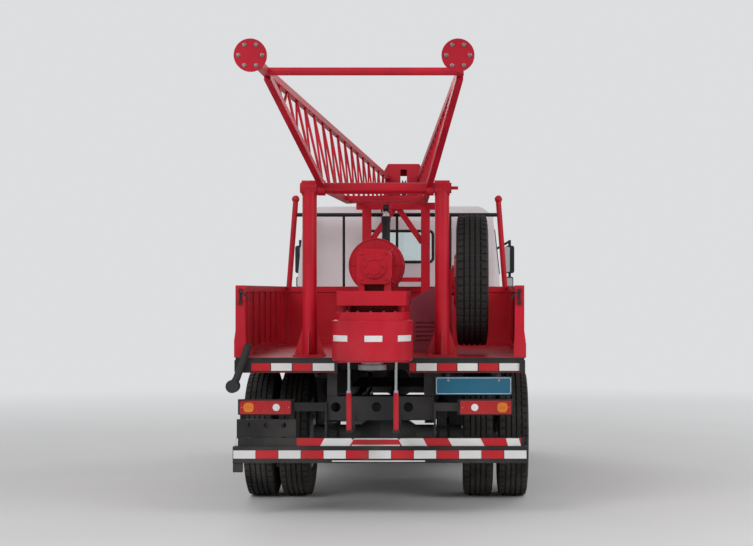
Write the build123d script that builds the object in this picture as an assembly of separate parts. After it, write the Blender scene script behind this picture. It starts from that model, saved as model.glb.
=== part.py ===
"""Truck-mounted drilling rig: a two-axle truck with a drop-side bed, a rotary drill head
hung behind the bed and a lattice mast that lies over the cab and tips up about a gantry.

Millimetres. +Z is up, +Y is forward, +X is to the right when looking forward. Every Y below is
measured from the rear edge of the bed, and each piece is moved by -Y_MID when it is written, so
that the part's origin is on the ground below the middle of its bounding box.
"""
import os
from math import cos, pi, sin, sqrt

from build123d import *

# Clearances
RUN_GAP = 0.3          # between a turning or sliding piece and what carries it
MOVE_GAP = 6.0         # between a moving panel and what it closes against

# Wheels
TYRE_R = 487.0
TYRE_W = 236.0
TYRE_FACETS = 40
RIM_R = 262.0
RIM_HALF = 92.0
RIM_T = 12.0
DISC_OFFSET = 135.0    # from the tyre's centre to the face that bolts to the hub
DISC_EDGE_R = 165.0
TWIN_OUTER_X = 972.0
TWIN_INNER_X = TWIN_OUTER_X - 2 * DISC_OFFSET
FRONT_TYRE_X = 870.0
HAND_HOLES = 6
HAND_HOLE_R = 24.0
HUB_R = 92.0
HUB_CAP_R = 70.0
DRUM_BRAKE_R = 200.0
STUB_R = 38.0

# Bed
BED_HALF = 1020.0
BED_LEN = 3000.0
FLOOR_T = 16.0
SKIRT_H = 108.0
SKIRT_T = 36.0
BEARER_W, BEARER_H = 60.0, 90.0
BEARERS = 6
SILL_W = 70.0
BOARD_H = 510.0
BOARD_T = 34.0
BOARD_RIM = 46.0
BOARD_RIBS = 7
RIB_W = 48.0
NOTCH_X0, NOTCH_X1 = -300.0, 205.0
NOTCH_DEPTH = 40.0
NOTCH_LIP = 22.0
CORNER_W = 78.0
CORNER_L = 60.0
HINGE_R = 13.0
HINGE_PIN_R = 6.0
HINGES = 4
HINGE_L = 70.0
EAR_T = 14.0
HEAD_T = 30.0
HEAD_RIM = 50.0
HEAD_RIBS = 7
RACK_R = 12.0
RACK_BAR_R = 17.0
RACK_END_R = 24.0
RACK_END_X = BED_HALF - 115.0
RACK_FOOT_X = BED_HALF - 55.0
RACK_KNOB_R = 34.0
RACK_POSTS_X = (-475.0, 0.0, 475.0)

# Axles and springs
REAR_AXLE_Y = 1300.0
AXLE_TUBE_R = 62.0
DIFF_R = 172.0
DIFF_NOSE_R, DIFF_NOSE_L = 78.0, 300.0
KING_PIN_X = 690.0
KING_PIN_R = 18.0
KING_BOSS_R = 40.0
KING_BOSS_H = 110.0
YOKE_T = 34.0
YOKE_GAP = 2.0
LEAF_T = 13.0
LEAVES = 4
SPRING_W = 64.0
SPRING_HALF = 600.0
SPRING_CAMBER = 42.0
REAR_SPRING_X = 430.0
FRONT_SPRING_X = 345.0
SPRING_SEAT_Z = TYRE_R + AXLE_TUBE_R
SPRING_TOP_Z = SPRING_SEAT_Z + RUN_GAP + SPRING_CAMBER + LEAVES * LEAF_T + 1

# Heights that stack up from the springs
RAIL_Z0 = SPRING_TOP_Z + 15.7
RAIL_H = 190.0
RAIL_TOP = RAIL_Z0 + RAIL_H
FLOOR_Z = RAIL_TOP + 280.0
BOARD_TOP = FLOOR_Z + BOARD_H
RACK_BAR_Z = FLOOR_Z + 1150.0
RACK_TOP_Z = FLOOR_Z + 1270.0

# Side boards and their hinges
HINGE_X = BED_HALF + HINGE_R + 3.0
HINGE_Z = FLOOR_Z - 8.0
BOARD_Y0, BOARD_Y1 = CORNER_L + MOVE_GAP, BED_LEN - HEAD_T - MOVE_GAP

# Cab
CAB_Y0 = BED_LEN + 300.0
CAB_LEN = 1750.0
CAB_Y1 = CAB_Y0 + CAB_LEN
CAB_HALF = 925.0
CAB_LEAN = 65.0        # how far each side leans in between the belt and the eaves
CAB_EAVES_HALF = CAB_HALF - CAB_LEAN
CAB_FLOOR_Z = RAIL_TOP + 190.0
CAB_APRON_Z = CAB_FLOOR_Z - 230.0
CAB_BELT_Z = CAB_FLOOR_Z + 660.0
CAB_ROOF_Z = CAB_FLOOR_Z + 1340.0
CAB_EAVES_Z = CAB_ROOF_Z - 90.0
CAB_WALL = 32.0
CAB_CORNER_R = 70.0    # rear corners, seen from above
CAB_NOSE_R = 170.0     # front corners, seen from above
CAB_EDGE_R = 110.0     # edges of the roof and nose
SCREEN_TOP_Y = CAB_Y1 - 410.0
APRON_BACK_Y = CAB_Y1 - 220.0
EAVES_CUT_Z = CAB_EAVES_Z - 10.0
DOOR_Y0, DOOR_Y1 = CAB_Y0 + 400.0, CAB_Y1 - 210.0
DOOR_TOP_Y = CAB_Y1 - 440.0
DOOR_FOOT_Z = CAB_FLOOR_Z + 40.0
DOOR_HEAD_Z = CAB_EAVES_Z - 40.0
DOOR_HINGE_X = CAB_HALF + 13.0
DOOR_HINGE_Y = DOOR_Y1 + MOVE_GAP / 2
DOOR_HINGE_R = 11.0
DOOR_HINGE_L = 60.0
DOOR_HINGES_Z = (DOOR_FOOT_Z + 100.0, DOOR_FOOT_Z + 500.0)
HINGE_EAR_T = 14.0
TUNNEL_HALF = 350.0
TUNNEL_Z = CAB_FLOOR_Z + 235.0
FLOOR_PAN_T = 14.0
PAN_Y1 = CAB_Y1 - 260.0
GLASS_T = 6.0
REAR_WIN_HALF = 315.0
REAR_WIN_Z0, REAR_WIN_Z1 = CAB_ROOF_Z - 515.0, CAB_ROOF_Z - 233.0
SCREEN_HALF_LOW, SCREEN_HALF_TOP = CAB_HALF - 125.0, CAB_HALF - 185.0
SCREEN_Z0, SCREEN_Z1 = CAB_BELT_Z - 40.0, CAB_ROOF_Z - 140.0
GRILLE_HALF = 560.0
GRILLE_Z0, GRILLE_Z1 = CAB_FLOOR_Z + 10.0, CAB_FLOOR_Z + 350.0
GRILLE_SLATS = 6
SLAT_W, SLAT_T = 26.0, 7.0
MIRROR_X = CAB_HALF + 185.0
MIRROR_Y = CAB_Y1 - 115.0
SEAT_W = 430.0
SEAT_OUT_X = CAB_HALF - 125.0
WHEEL_X, WHEEL_R = -480.0, 235.0

# Front axle, its guards and the bumper
FRONT_AXLE_Y = CAB_Y0 + 900.0
ARCH_HALF = 600.0
ARCH_R = 150.0
ARCH_T = 8.0
BUMPER_Z0, BUMPER_Z1 = CAB_APRON_Z - 380.0, CAB_APRON_Z - 10.0
BUMPER_HALF = CAB_HALF + 35.0
BUMPER_Y0, BUMPER_Y1 = CAB_Y1 - 190.0, CAB_Y1 + 60.0
BUMPER_T = 30.0
BUMPER_CORNER_R = 85.0
HEADLAMP_X, HEADLAMP_W, HEADLAMP_H = BUMPER_HALF - 260.0, 300.0, 170.0
HEADLAMP_Z0 = BUMPER_Z0 + 150.0

# Chassis
RAIL_X = 380.0         # outer face of each frame rail
RAIL_FLANGE = 66.0
RAIL_T = 9.0
RAIL_Y0 = 90.0
RAIL_Y1 = CAB_Y1 - 110.0
CROSS_W = 60.0
CROSS_H = 81.0
CROSS_PLACES = (       # y, height above the rail's foot
    (800.0, 9.0), (1780.0, 9.0), (2620.0, 108.0), (FRONT_AXLE_Y + 220.0, 9.0),
    (RAIL_Y1 - 90.0, 9.0),
)
PANEL_HOLE_R = 34.0
PANEL_HOLES_X = (-318.0, -28.0, 198.0)
ENGINE_W, ENGINE_L, ENGINE_H = 500.0, 860.0, 540.0
ENGINE_Y0 = CAB_Y0 + 180.0
ENGINE_Z0 = RAIL_Z0
BELL_R, BELL_L = 180.0, 160.0
GEARBOX_CASE_R, GEARBOX_CASE_L = 120.0, 320.0
PROP_R = 42.0
FILLER_R = 38.0

# Gantry and mast
RIG_X = -40.0          # the rig stands a little left of the truck's centre line
PIVOT_Y, PIVOT_Z = 220.0, FLOOR_Z + 1212.0
POST_X = 477.0
POST_R = 52.0
POST_FOOT = 110.0
PIVOT_R = 38.0
SLEEVE_T = 17.0
SLEEVE_L = 110.0
MAST_SLEEVE_L = 52.0
MAST_SLEEVE_X = POST_X - SLEEVE_L / 2 - MOVE_GAP - MAST_SLEEVE_L / 2
CHORD = 44.0
LACE = 16.0
LACE_W = 52.0
LEG_LOW_X = MAST_SLEEVE_X - 12.0      # lower chord's centre at the pivot
TIE_Y, TIE_Z, TIE_X = -1280.0, PIVOT_Z + 633.0, 610.0
TIE_R = 25.0
LEG_END_Y = TIE_Y + 60.0
FOOT_Y, FOOT_Z, FOOT_X = TIE_Y - 830.0, TIE_Z - 19.0, 597.0
FOOT_R = 95.0
FOOT_T = 22.0
KNEE_Y = 1900.0
ROOF_GAP = 44.0        # from the cab's roof to the lower chords
CROWN_Y, CROWN_X = 6000.0, 150.0
CHORD_CLIMB = (CAB_ROOF_Z + ROOF_GAP + CHORD / 2 - PIVOT_Z) / (CAB_Y0 + 130.0 - KNEE_Y)
CROWN_LOW_Z = PIVOT_Z + max(CHORD_CLIMB, 0.0) * (CROWN_Y - KNEE_Y)
CROWN_Z = CROWN_LOW_Z + 170.0
CROWN_TOP_Z = CROWN_Z + 160.0
CROWN_LEN = 330.0
CROWN_CHEEK_T = 14.0
CROWN_SLOT = 34.0
CROWN_PLATE_Y = CROWN_Y - CROWN_LEN + 30.0
SHEAVE_R = 128.0
SHEAVE_W = 44.0
SHEAVE_Y = CROWN_Y - 170.0
SHEAVE_Z = CROWN_LOW_Z + 35.0
SHEAVE_PIN_R = 20.0
PANELS_REAR = 4
PANELS_FRONT = 13
STRUT = 36.0
REST_Y = BED_LEN - 200.0
REST_X = 258.0
REST_HALF = 350.0
REST_POST = 78.0
REST_BRACE = 50.0

# Mast cylinder
CYL_R = 33.0
CYL_STAGE_T = 5.0      # wall of each stage and of the barrel
CYL_STAGES = 3         # moving stages; the last is the rod with the eye
CYL_FOOT_Y = 1760.0
CYL_FOOT_Z = FLOOR_Z + 62.0
CYL_EYE_Y = CYL_FOOT_Y
CYL_EYE_Z = PIVOT_Z - 66.0
CYL_EYE_R = 30.0
CYL_HEAD_Z = CYL_EYE_Z - 66.0     # top of the barrel
CYL_PIN_R = 16.0
CLEVIS_T = 14.0
EYE_CHEEK_T, EYE_CHEEK_X = 12.0, 36.0

# Rotary head, feed and winch
HOLE_Y = -220.0        # drilling axis
DRUM_R = 280.0
HEAD_GAP = 12.0        # between the head and the bed it hangs behind
DRUM_Z0, DRUM_Z1 = FLOOR_Z - 15.0, FLOOR_Z + 325.0
FEED_STROKE = 160.0
FEED_X = 163.0
ROD_R = 10.0
BARREL_R = 19.0
BARREL_Z1 = DRUM_Z0 - FEED_STROKE - 61.0
BARREL_Z0 = BARREL_Z1 - 257.0
GLAND_H = 18.0
BRACKET_W, BRACKET_T = 50.0, 18.0
TABLE_Z0, TABLE_Z1 = FLOOR_Z + 370.0, FLOOR_Z + 470.0
TABLE_HALF = 240.0
TABLE_Y1 = 620.0
PILLAR_R = 28.0
PILLAR_X = 195.0
SPINDLE_R = 78.0
SPINDLE_BORE_R = 32.0
SPINDLE_DROP = 60.0
SOCKET_L = 150.0
WINCH_Z = TABLE_Z1 + 184.0
WINCH_Y0, WINCH_Y1 = 250.0, 520.0
WINCH_FLANGE_R = 199.0
WINCH_FLANGE_T = 16.0
WINCH_BARREL_R = 110.0
WINCH_SHAFT_R = 30.0
GEARBOX_W, GEARBOX_H = 245.0, 250.0
GEARBOX_Z = WINCH_Z - 11.0
GEARBOX_CORNER_R = 58.0

# Power pack on the bed
PACK_X0, PACK_X1 = 175.0, 505.0
PACK_Y0, PACK_Y1 = 1080.0, 1700.0
PACK_TOP_Z = FLOOR_Z + 520.0
PACK_LOUVRES = 5

# Underrun bar, lamps and plate
BAR_HALF = BED_HALF + 20.0
BAR_Z0, BAR_Z1 = RAIL_Z0 - 275.0, RAIL_Z0 - 160.0
BAR_FACE_TOP = RAIL_Z0 - 100.0
BAR_DEPTH = 90.0
LAMP_W, LAMP_H, LAMP_Z = 380.0, 113.0, RAIL_Z0 + 116.0
LAMP_CENTRES = (208.0 - BED_HALF, BED_HALF - 272.0)
PLATE_X0, PLATE_X1 = BED_HALF - 628.0, BED_HALF - 88.0
PLATE_Z0, PLATE_Z1 = FLOOR_Z - 264.0, FLOOR_Z - 137.0

# Spare wheel
SPARE_X, SPARE_Y, SPARE_Z = 655.0, 640.0, FLOOR_Z + 550.0

Y_MID = (FOOT_Y + CROWN_Y) / 2


def write(name, piece):
    """Move one piece into the part's frame and write it."""
    solids = [Pos(0, -Y_MID, 0) * solid for solid in piece.solids()]
    export_step(solids[0] if len(solids) == 1 else Compound(solids), f"parts/{name}.step")


# Plain shapes

def box(x0, x1, y0, y1, z0, z1):
    """A block between two corners."""
    middle = Pos((x0 + x1) / 2, (y0 + y1) / 2, (z0 + z1) / 2)
    return middle * Box(x1 - x0, y1 - y0, z1 - z0)


def rod(start, end, radius):
    """A round bar from one point to another."""
    a, b = Vector(*start), Vector(*end)
    return extrude(Plane(origin=a, z_dir=b - a) * Circle(radius), (b - a).length)


def bar(start, end, width, depth, across=(1, 0, 0)):
    """A flat or square bar from one point to another, its width along the direction across."""
    a, b = Vector(*start), Vector(*end)
    along = (b - a).normalized()
    side = Vector(*across)
    side = (side - along * side.dot(along)).normalized()
    return extrude(Plane(origin=a, x_dir=side, z_dir=along) * Rectangle(width, depth),
                   (b - a).length)


def ring(radius, bore):
    """A disc, or a ring where there is a bore."""
    return Circle(radius) - Circle(bore) if bore else Circle(radius)


def tube_x(x0, x1, y, z, radius, bore=0.0):
    """A round bar or tube along X."""
    plane = Plane(origin=(x0, y, z), x_dir=(0, 1, 0), z_dir=(1, 0, 0))
    return extrude(plane * ring(radius, bore), x1 - x0)


def tube_y(x, y0, y1, z, radius, bore=0.0):
    """A round bar or tube along Y."""
    plane = Plane(origin=(x, y0, z), x_dir=(1, 0, 0), z_dir=(0, 1, 0))
    return extrude(plane * ring(radius, bore), y1 - y0)


def tube_z(x, y, z0, z1, radius, bore=0.0):
    """A round bar or tube along Z."""
    return extrude(Plane(origin=(x, y, z0)) * ring(radius, bore), z1 - z0)


def prism_x(points, x0, x1):
    """An outline of (y, z) points, extruded from x0 to x1."""
    plane = Plane(origin=(x0, 0, 0), x_dir=(0, 1, 0), z_dir=(1, 0, 0))
    return extrude(plane * make_face(Polyline(*points, close=True)), x1 - x0, dir=(1, 0, 0))


def prism_y(points, y0, y1):
    """An outline of (x, z) points, extruded from y0 to y1."""
    plane = Plane(origin=(0, y1, 0), x_dir=(1, 0, 0), z_dir=(0, -1, 0))
    return extrude(plane * make_face(Polyline(*points, close=True)), y1 - y0, dir=(0, -1, 0))


def lathe_x(points, y, z):
    """An outline of (x, radius) points turned about an axis along X."""
    return Pos(0, y, z) * revolve(make_face(Polyline(*points, close=True)), Axis.X, 360)


def mirrored(piece):
    """The same piece on the other side of the truck's centre line."""
    return mirror(piece, about=Plane.YZ)


def on_side(piece, side):
    """A piece drawn on the right, put on the side that is asked for."""
    return piece if side > 0 else mirrored(piece)


def both(piece):
    """A piece drawn on the right, with its mirror image."""
    return together(piece, mirrored(piece))


def together(*pieces):
    """Pieces that don't touch, in one node."""
    solids = [solid for piece in pieces for solid in piece.solids()]
    return Compound(solids)


SIDES = (("left", -1), ("right", 1))


# Wheels, drawn on the right and about the axle at y

def tyre(x, y, z=TYRE_R):
    """A road tyre with its axis along X, centred on x: a section carried round in flats."""
    half = TYRE_W / 2
    wall = TYRE_R - RIM_R
    side = ((0.78, 0.0), (0.97, 0.27), (1.0, 0.52), (0.94, 0.86), (0.66, 1.0))
    section = [(half * width, RIM_R + wall * height) for width, height in side]
    section += [(-a, r) for a, r in reversed(section)]
    step = 2 * pi / TYRE_FACETS
    rings = []
    for i in range(TYRE_FACETS + 1):
        turn = step * (i % TYRE_FACETS + 0.5) - pi / 2
        rings.append([Vector(x + a, y + r * cos(turn) / cos(step / 2),
                             z + r * sin(turn) / cos(step / 2)) for a, r in section])
    faces = []
    for here, ahead in zip(rings, rings[1:]):
        for i in range(len(section)):
            j = (i + 1) % len(section)
            faces.append(Face(Wire.make_polygon([here[i], here[j], ahead[j], ahead[i]])))
    return Solid(Shell(faces))


def rim(x, y, dish, z=TYRE_R):
    """A disc wheel inside the tyre at x; its disc stands off towards dish (-1 or 1)."""
    r0, r1 = RIM_R - RUN_GAP, RIM_R - RIM_T
    outline = [
        (x + dish * a, r)
        for a, r in (
            (-RIM_HALF, r0), (-RIM_HALF, r1), (RIM_HALF - RIM_T, r1),
            (DISC_OFFSET - RIM_T, DISC_EDGE_R), (DISC_OFFSET - RIM_T, HUB_R),
            (DISC_OFFSET, HUB_R), (DISC_OFFSET, DISC_EDGE_R + RIM_T), (RIM_HALF, r0),
        )
    ]
    disc = lathe_x(outline, y, z)
    hole_r = (DISC_EDGE_R + r1) / 2
    for i in range(HAND_HOLES):
        turn = 2 * pi * i / HAND_HOLES
        disc -= tube_x(x - TYRE_W, x + TYRE_W, y + hole_r * cos(turn), z + hole_r * sin(turn),
                       HAND_HOLE_R)
    return disc


def hub(face_x, inner_x, outer_x, y, brake_x0, brake_x1):
    """A hub with its brake drum; the wheel bolts on at face_x."""
    bore = STUB_R + RUN_GAP
    outline = [
        (inner_x, bore), (inner_x, DRUM_BRAKE_R * 0.6), (brake_x0, DRUM_BRAKE_R),
        (brake_x1, DRUM_BRAKE_R), (brake_x1, HUB_R + RIM_T), (face_x, HUB_R + RIM_T),
        (face_x, HUB_R), (outer_x - 30, HUB_R), (outer_x, HUB_CAP_R), (outer_x, 0),
        (outer_x - 18, 0), (outer_x - 18, bore),
    ]
    return lathe_x(outline, y, TYRE_R)


def rear_rims():
    """Both rims of a twin wheel, bolted back to back on their hub."""
    face = TWIN_OUTER_X - DISC_OFFSET
    carrier = hub(face - RIM_T, TWIN_INNER_X - 120, face + 105, REAR_AXLE_Y,
                  TWIN_INNER_X - 80, face - RIM_T - 40)
    return rim(TWIN_OUTER_X, REAR_AXLE_Y, -1) + rim(TWIN_INNER_X, REAR_AXLE_Y, 1) + carrier


def front_rim():
    """The front rim and hub; the disc stands out at the wheel's outer side."""
    face = FRONT_TYRE_X + DISC_OFFSET
    carrier = hub(face - RIM_T, FRONT_TYRE_X - 72, face + 62, FRONT_AXLE_Y,
                  FRONT_TYRE_X - 50, FRONT_TYRE_X + 40)
    return rim(FRONT_TYRE_X, FRONT_AXLE_Y, 1) + carrier


# Axles, springs, frame and driveline

def rear_axle():
    """Banjo axle with stub ends that run inside the hubs."""
    end = TWIN_INNER_X - 122
    stub = TWIN_OUTER_X - DISC_OFFSET + 60
    tube = tube_x(-end, end, REAR_AXLE_Y, TYRE_R, AXLE_TUBE_R)
    stubs = tube_x(-stub, stub, REAR_AXLE_Y, TYRE_R, STUB_R)
    swell = ((-1.25, 0.36), (-0.72, 0.72), (-0.34, 1.0), (0.34, 1.0), (0.72, 0.72), (1.25, 0.36))
    outline = [(DIFF_R * along, DIFF_R * out) for along, out in swell]
    housing = lathe_x([(outline[0][0], 0)] + outline + [(outline[-1][0], 0)], REAR_AXLE_Y, TYRE_R)
    nose = tube_y(0, REAR_AXLE_Y, REAR_AXLE_Y + DIFF_NOSE_L, TYRE_R, DIFF_NOSE_R)
    return tube + stubs + housing + nose


def front_axle():
    """Dropped beam with an upright boss at each end for the king pin."""
    z = TYRE_R - 30
    inner = KING_PIN_X - 170
    right = [(inner, z - 95), (KING_PIN_X - 50, z - 15), (KING_PIN_X, z - 8),
             (KING_PIN_X, z + 60), (KING_PIN_X - 60, z + 58), (inner - 14, z - 15)]
    drop = prism_y(right + [(-x, height) for x, height in reversed(right)],
                   FRONT_AXLE_Y - 42, FRONT_AXLE_Y + 42)
    seat_half = SPRING_W / 2 + 13
    seats = both(box(FRONT_SPRING_X - seat_half, FRONT_SPRING_X + seat_half, FRONT_AXLE_Y - 60,
                     FRONT_AXLE_Y + 60, z - 80, SPRING_SEAT_Z))
    bosses = both(tube_z(KING_PIN_X, FRONT_AXLE_Y, TYRE_R - KING_BOSS_H / 2,
                         TYRE_R + KING_BOSS_H / 2, KING_BOSS_R))
    holes = both(tube_z(KING_PIN_X, FRONT_AXLE_Y, 0, RAIL_Z0, KING_PIN_R + RUN_GAP))
    return drop + seats + bosses - holes


def knuckle():
    """Steering knuckle: a yoke about the axle's boss, its king pin and the stub axle."""
    top = TYRE_R + KING_BOSS_H / 2 + YOKE_GAP
    low = TYRE_R - KING_BOSS_H / 2 - YOKE_GAP
    reach = KING_PIN_X + KING_BOSS_R + 4
    back_x = reach + 26
    stub_end = FRONT_TYRE_X + DISC_OFFSET + 20
    arms = [box(KING_PIN_X - 30, back_x, FRONT_AXLE_Y - 32, FRONT_AXLE_Y + 32, z, z + YOKE_T)
            for z in (top, low - YOKE_T)]
    back = box(reach, back_x, FRONT_AXLE_Y - 40, FRONT_AXLE_Y + 40, low - YOKE_T, top + YOKE_T)
    pin = tube_z(KING_PIN_X, FRONT_AXLE_Y, low - YOKE_T, top + YOKE_T, KING_PIN_R)
    stub = tube_x(back_x - 6, stub_end, FRONT_AXLE_Y, TYRE_R, STUB_R)
    return arms[0] + arms[1] + back + pin + stub


def leaf_pack(x, y):
    """A stack of curved leaves; the longest, with its eyes, is on top."""
    radius = (SPRING_HALF ** 2 + SPRING_CAMBER ** 2) / (2 * SPRING_CAMBER)
    base = SPRING_SEAT_Z + RUN_GAP
    middle_z = base + radius
    plane = Plane(origin=(x - SPRING_W / 2, 0, 0), x_dir=(0, 1, 0), z_dir=(1, 0, 0))

    def at(r, dy):
        return (y + dy, middle_z - sqrt(r * r - dy * dy))

    clamp_half = SPRING_W / 2 + 8
    pack = box(x - clamp_half, x + clamp_half, y - 60, y + 60, base,
               base + LEAVES * LEAF_T + 16)
    for i in range(LEAVES):
        half = SPRING_HALF * (0.42 + 0.58 * (i + 1) / LEAVES)
        r_in = radius - LEAF_T * (i + 1)
        r_out = radius - LEAF_T * i
        face = make_face([
            ThreePointArc(at(r_out, -half), at(r_out, 0), at(r_out, half)),
            Line(at(r_out, half), at(r_in, half)),
            ThreePointArc(at(r_in, half), at(r_in, 0), at(r_in, -half)),
            Line(at(r_in, -half), at(r_out, -half)),
        ])
        pack += extrude(plane * face, SPRING_W)
    return pack


def chassis_frame():
    """Two channel rails with their crossmembers and spring brackets."""
    z0, z1 = RAIL_Z0, RAIL_TOP
    outer, web, lip = RAIL_X, RAIL_X - RAIL_T, RAIL_X - RAIL_FLANGE
    channel = [(outer, z0), (outer, z1), (lip, z1), (lip, z1 - RAIL_T), (web, z1 - RAIL_T),
               (web, z0 + RAIL_T), (lip, z0 + RAIL_T), (lip, z0)]
    rail = prism_y(channel, RAIL_Y0, RAIL_Y1)
    frame = rail + mirrored(rail)
    for y, lift in CROSS_PLACES:
        frame += box(-web, web, y, y + CROSS_W, z0 + lift, z0 + lift + CROSS_H)
    panel = box(-outer, outer, RAIL_Y0 - RAIL_T, RAIL_Y0, z0 + 20, z1)
    for x in PANEL_HOLES_X:
        panel -= tube_y(x, RAIL_Y0 - 2 * RAIL_T, RAIL_Y0 + RAIL_T, z0 + RAIL_H * 0.6,
                        PANEL_HOLE_R)
    frame += panel
    for x, axle_y in ((REAR_SPRING_X, REAR_AXLE_Y), (FRONT_SPRING_X, FRONT_AXLE_Y)):
        for end in (-1, 1):
            y = axle_y + end * (SPRING_HALF - 35)
            x0, x1 = min(x - 38, web), x + 38
            bracket = box(x0, x1, y - 35, y + 35, SPRING_TOP_Z + RUN_GAP, z0 + 40)
            frame += bracket + mirrored(bracket)
    return frame


def driveline():
    """Engine block, gearbox and propeller shaft in line between the rails."""
    y0 = ENGINE_Y0
    block = box(-ENGINE_W / 2, ENGINE_W / 2, y0, y0 + ENGINE_L, ENGINE_Z0, ENGINE_Z0 + ENGINE_H)
    block += tube_y(0, y0 - BELL_L, y0, ENGINE_Z0 + 160, BELL_R)
    shaft_z = ENGINE_Z0 + 130
    case_y = y0 - BELL_L - GEARBOX_CASE_L
    block += tube_y(0, case_y, y0 - BELL_L, shaft_z, GEARBOX_CASE_R)
    nose_y = REAR_AXLE_Y + DIFF_NOSE_L
    block += rod((0, case_y, shaft_z), (0, nose_y + 20, TYRE_R), PROP_R)
    block += tube_y(0, nose_y, nose_y + 40, TYRE_R, DIFF_NOSE_R - 12)
    for side in (-1, 1):
        x0, x1 = sorted((side * ENGINE_W / 2, side * (RAIL_X - RAIL_T)))
        block += box(x0, x1, y0 + 500, y0 + 580, RAIL_Z0 + 40, RAIL_Z0 + 100)
    return block


def fuel_tank():
    """Rounded steel tank on the right of the frame, with its filler."""
    y0, y1 = 2130.0, 2900.0
    top = RAIL_TOP
    body = box(RAIL_X + 40, RAIL_X + 420, y0, y1, top - 380, top)
    body = fillet(body.edges().filter_by(Axis.Y), 60)
    body += tube_z(RAIL_X + 340, y0 + 120, top - 20, top + 40, FILLER_R)
    for y in (y0 + 110, y1 - 170):
        body += box(RAIL_X, RAIL_X + 60, y, y + 60, top - 210, top - 70)
    return body


def battery_box():
    """Battery box and air reservoirs on the left of the frame."""
    x, top = RAIL_X, RAIL_TOP - 20
    case = box(x, x + 330, 2560, 2960, top - 290, top)
    case += box(x + 20, x + 342, 2550, 2970, top, top + 20)
    for z in (top - 210, top - 30):
        case += tube_y(x + 120, 2020, 2562, z, 85)
    case += box(x, x + 120, 2150, 2190, top - 230, top)
    return mirrored(case)


def muffler():
    """Exhaust silencer below the left rail, with its tail pipe."""
    x, z = -RAIL_X + 130, RAIL_Z0 - 100
    y0, y1 = 1900.0, 2500.0
    body = tube_y(x, y0, y1, z, 95)
    body += tube_y(x, y1, y1 + 700, z, 30)
    body += rod((x, y0, z), (x, y0 - 140, z), 30)
    body += rod((x, y0 - 125, z), (x - 230, y0 - 125, z), 27)
    body += box(x - 15, x + 15, 2180, 2210, z + 40, RAIL_Z0)
    return body + box(-RAIL_X + 20, x + 15, 2180, 2210, RAIL_Z0 - 20, RAIL_Z0)


# Bed

def bed_floor():
    """Floor plate with skirt, bearers, sills and the rear corner posts."""
    z1 = FLOOR_Z - FLOOR_T
    low = FLOOR_Z - SKIRT_H
    floor = box(-BED_HALF, BED_HALF, 0, BED_LEN, z1, FLOOR_Z)
    ringed = box(-BED_HALF, BED_HALF, 0, BED_LEN, low, z1) - box(
        -BED_HALF + SKIRT_T, BED_HALF - SKIRT_T, SKIRT_T, BED_LEN - SKIRT_T, low, z1)
    bed = floor + ringed
    step = (BED_LEN - 2 * SKIRT_T) / (BEARERS + 1)
    for i in range(BEARERS):
        y = SKIRT_T + step * (i + 1)
        bed += box(-BED_HALF + SKIRT_T, BED_HALF - SKIRT_T, y - BEARER_W / 2, y + BEARER_W / 2,
                   z1 - BEARER_H, z1)
    sill = box(RAIL_X - SILL_W, RAIL_X, RAIL_Y0, BED_LEN, RAIL_TOP, z1 - BEARER_H + 4)
    bed += sill + mirrored(sill)
    bed -= box(NOTCH_X0, NOTCH_X1, -1, NOTCH_DEPTH, low - 1, z1 - NOTCH_LIP)
    bed -= tube_z(RIG_X, HOLE_Y, low - 1, FLOOR_Z + 1, DRUM_R + HEAD_GAP)
    post = prism_y([(BED_HALF - CORNER_W, FLOOR_Z), (BED_HALF + 10, FLOOR_Z),
                    (BED_HALF + 10, FLOOR_Z + 120), (BED_HALF, FLOOR_Z + 190),
                    (BED_HALF, BOARD_TOP), (BED_HALF - CORNER_W + 14, BOARD_TOP),
                    (BED_HALF - CORNER_W + 10, FLOOR_Z + 170)], 0, CORNER_L)
    pins = side_hinges(HINGE_PIN_R, pins_only=True)
    return bed + post + mirrored(post) + pins + mirrored(pins)


def hinge_places():
    """The middle of each side board hinge along Y."""
    span = (BOARD_Y1 - BOARD_Y0) / HINGES
    return [BOARD_Y0 + span * (i + 0.5) for i in range(HINGES)]


def side_hinges(radius, pins_only):
    """The bed's half of the hinges: a pin held by an ear at each end."""
    group = None
    reach = HINGE_L / 2 + EAR_T + 2
    for y in hinge_places():
        piece = tube_y(HINGE_X, y - reach, y + reach, HINGE_Z, radius)
        if pins_only:
            for end in (-1, 1):
                y0 = y + end * (HINGE_L / 2 + 9) - EAR_T / 2
                piece += box(BED_HALF - 4, HINGE_X + 8, y0, y0 + EAR_T, HINGE_Z - 11, HINGE_Z + 9)
        group = piece if group is None else group + piece
    return group


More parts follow.
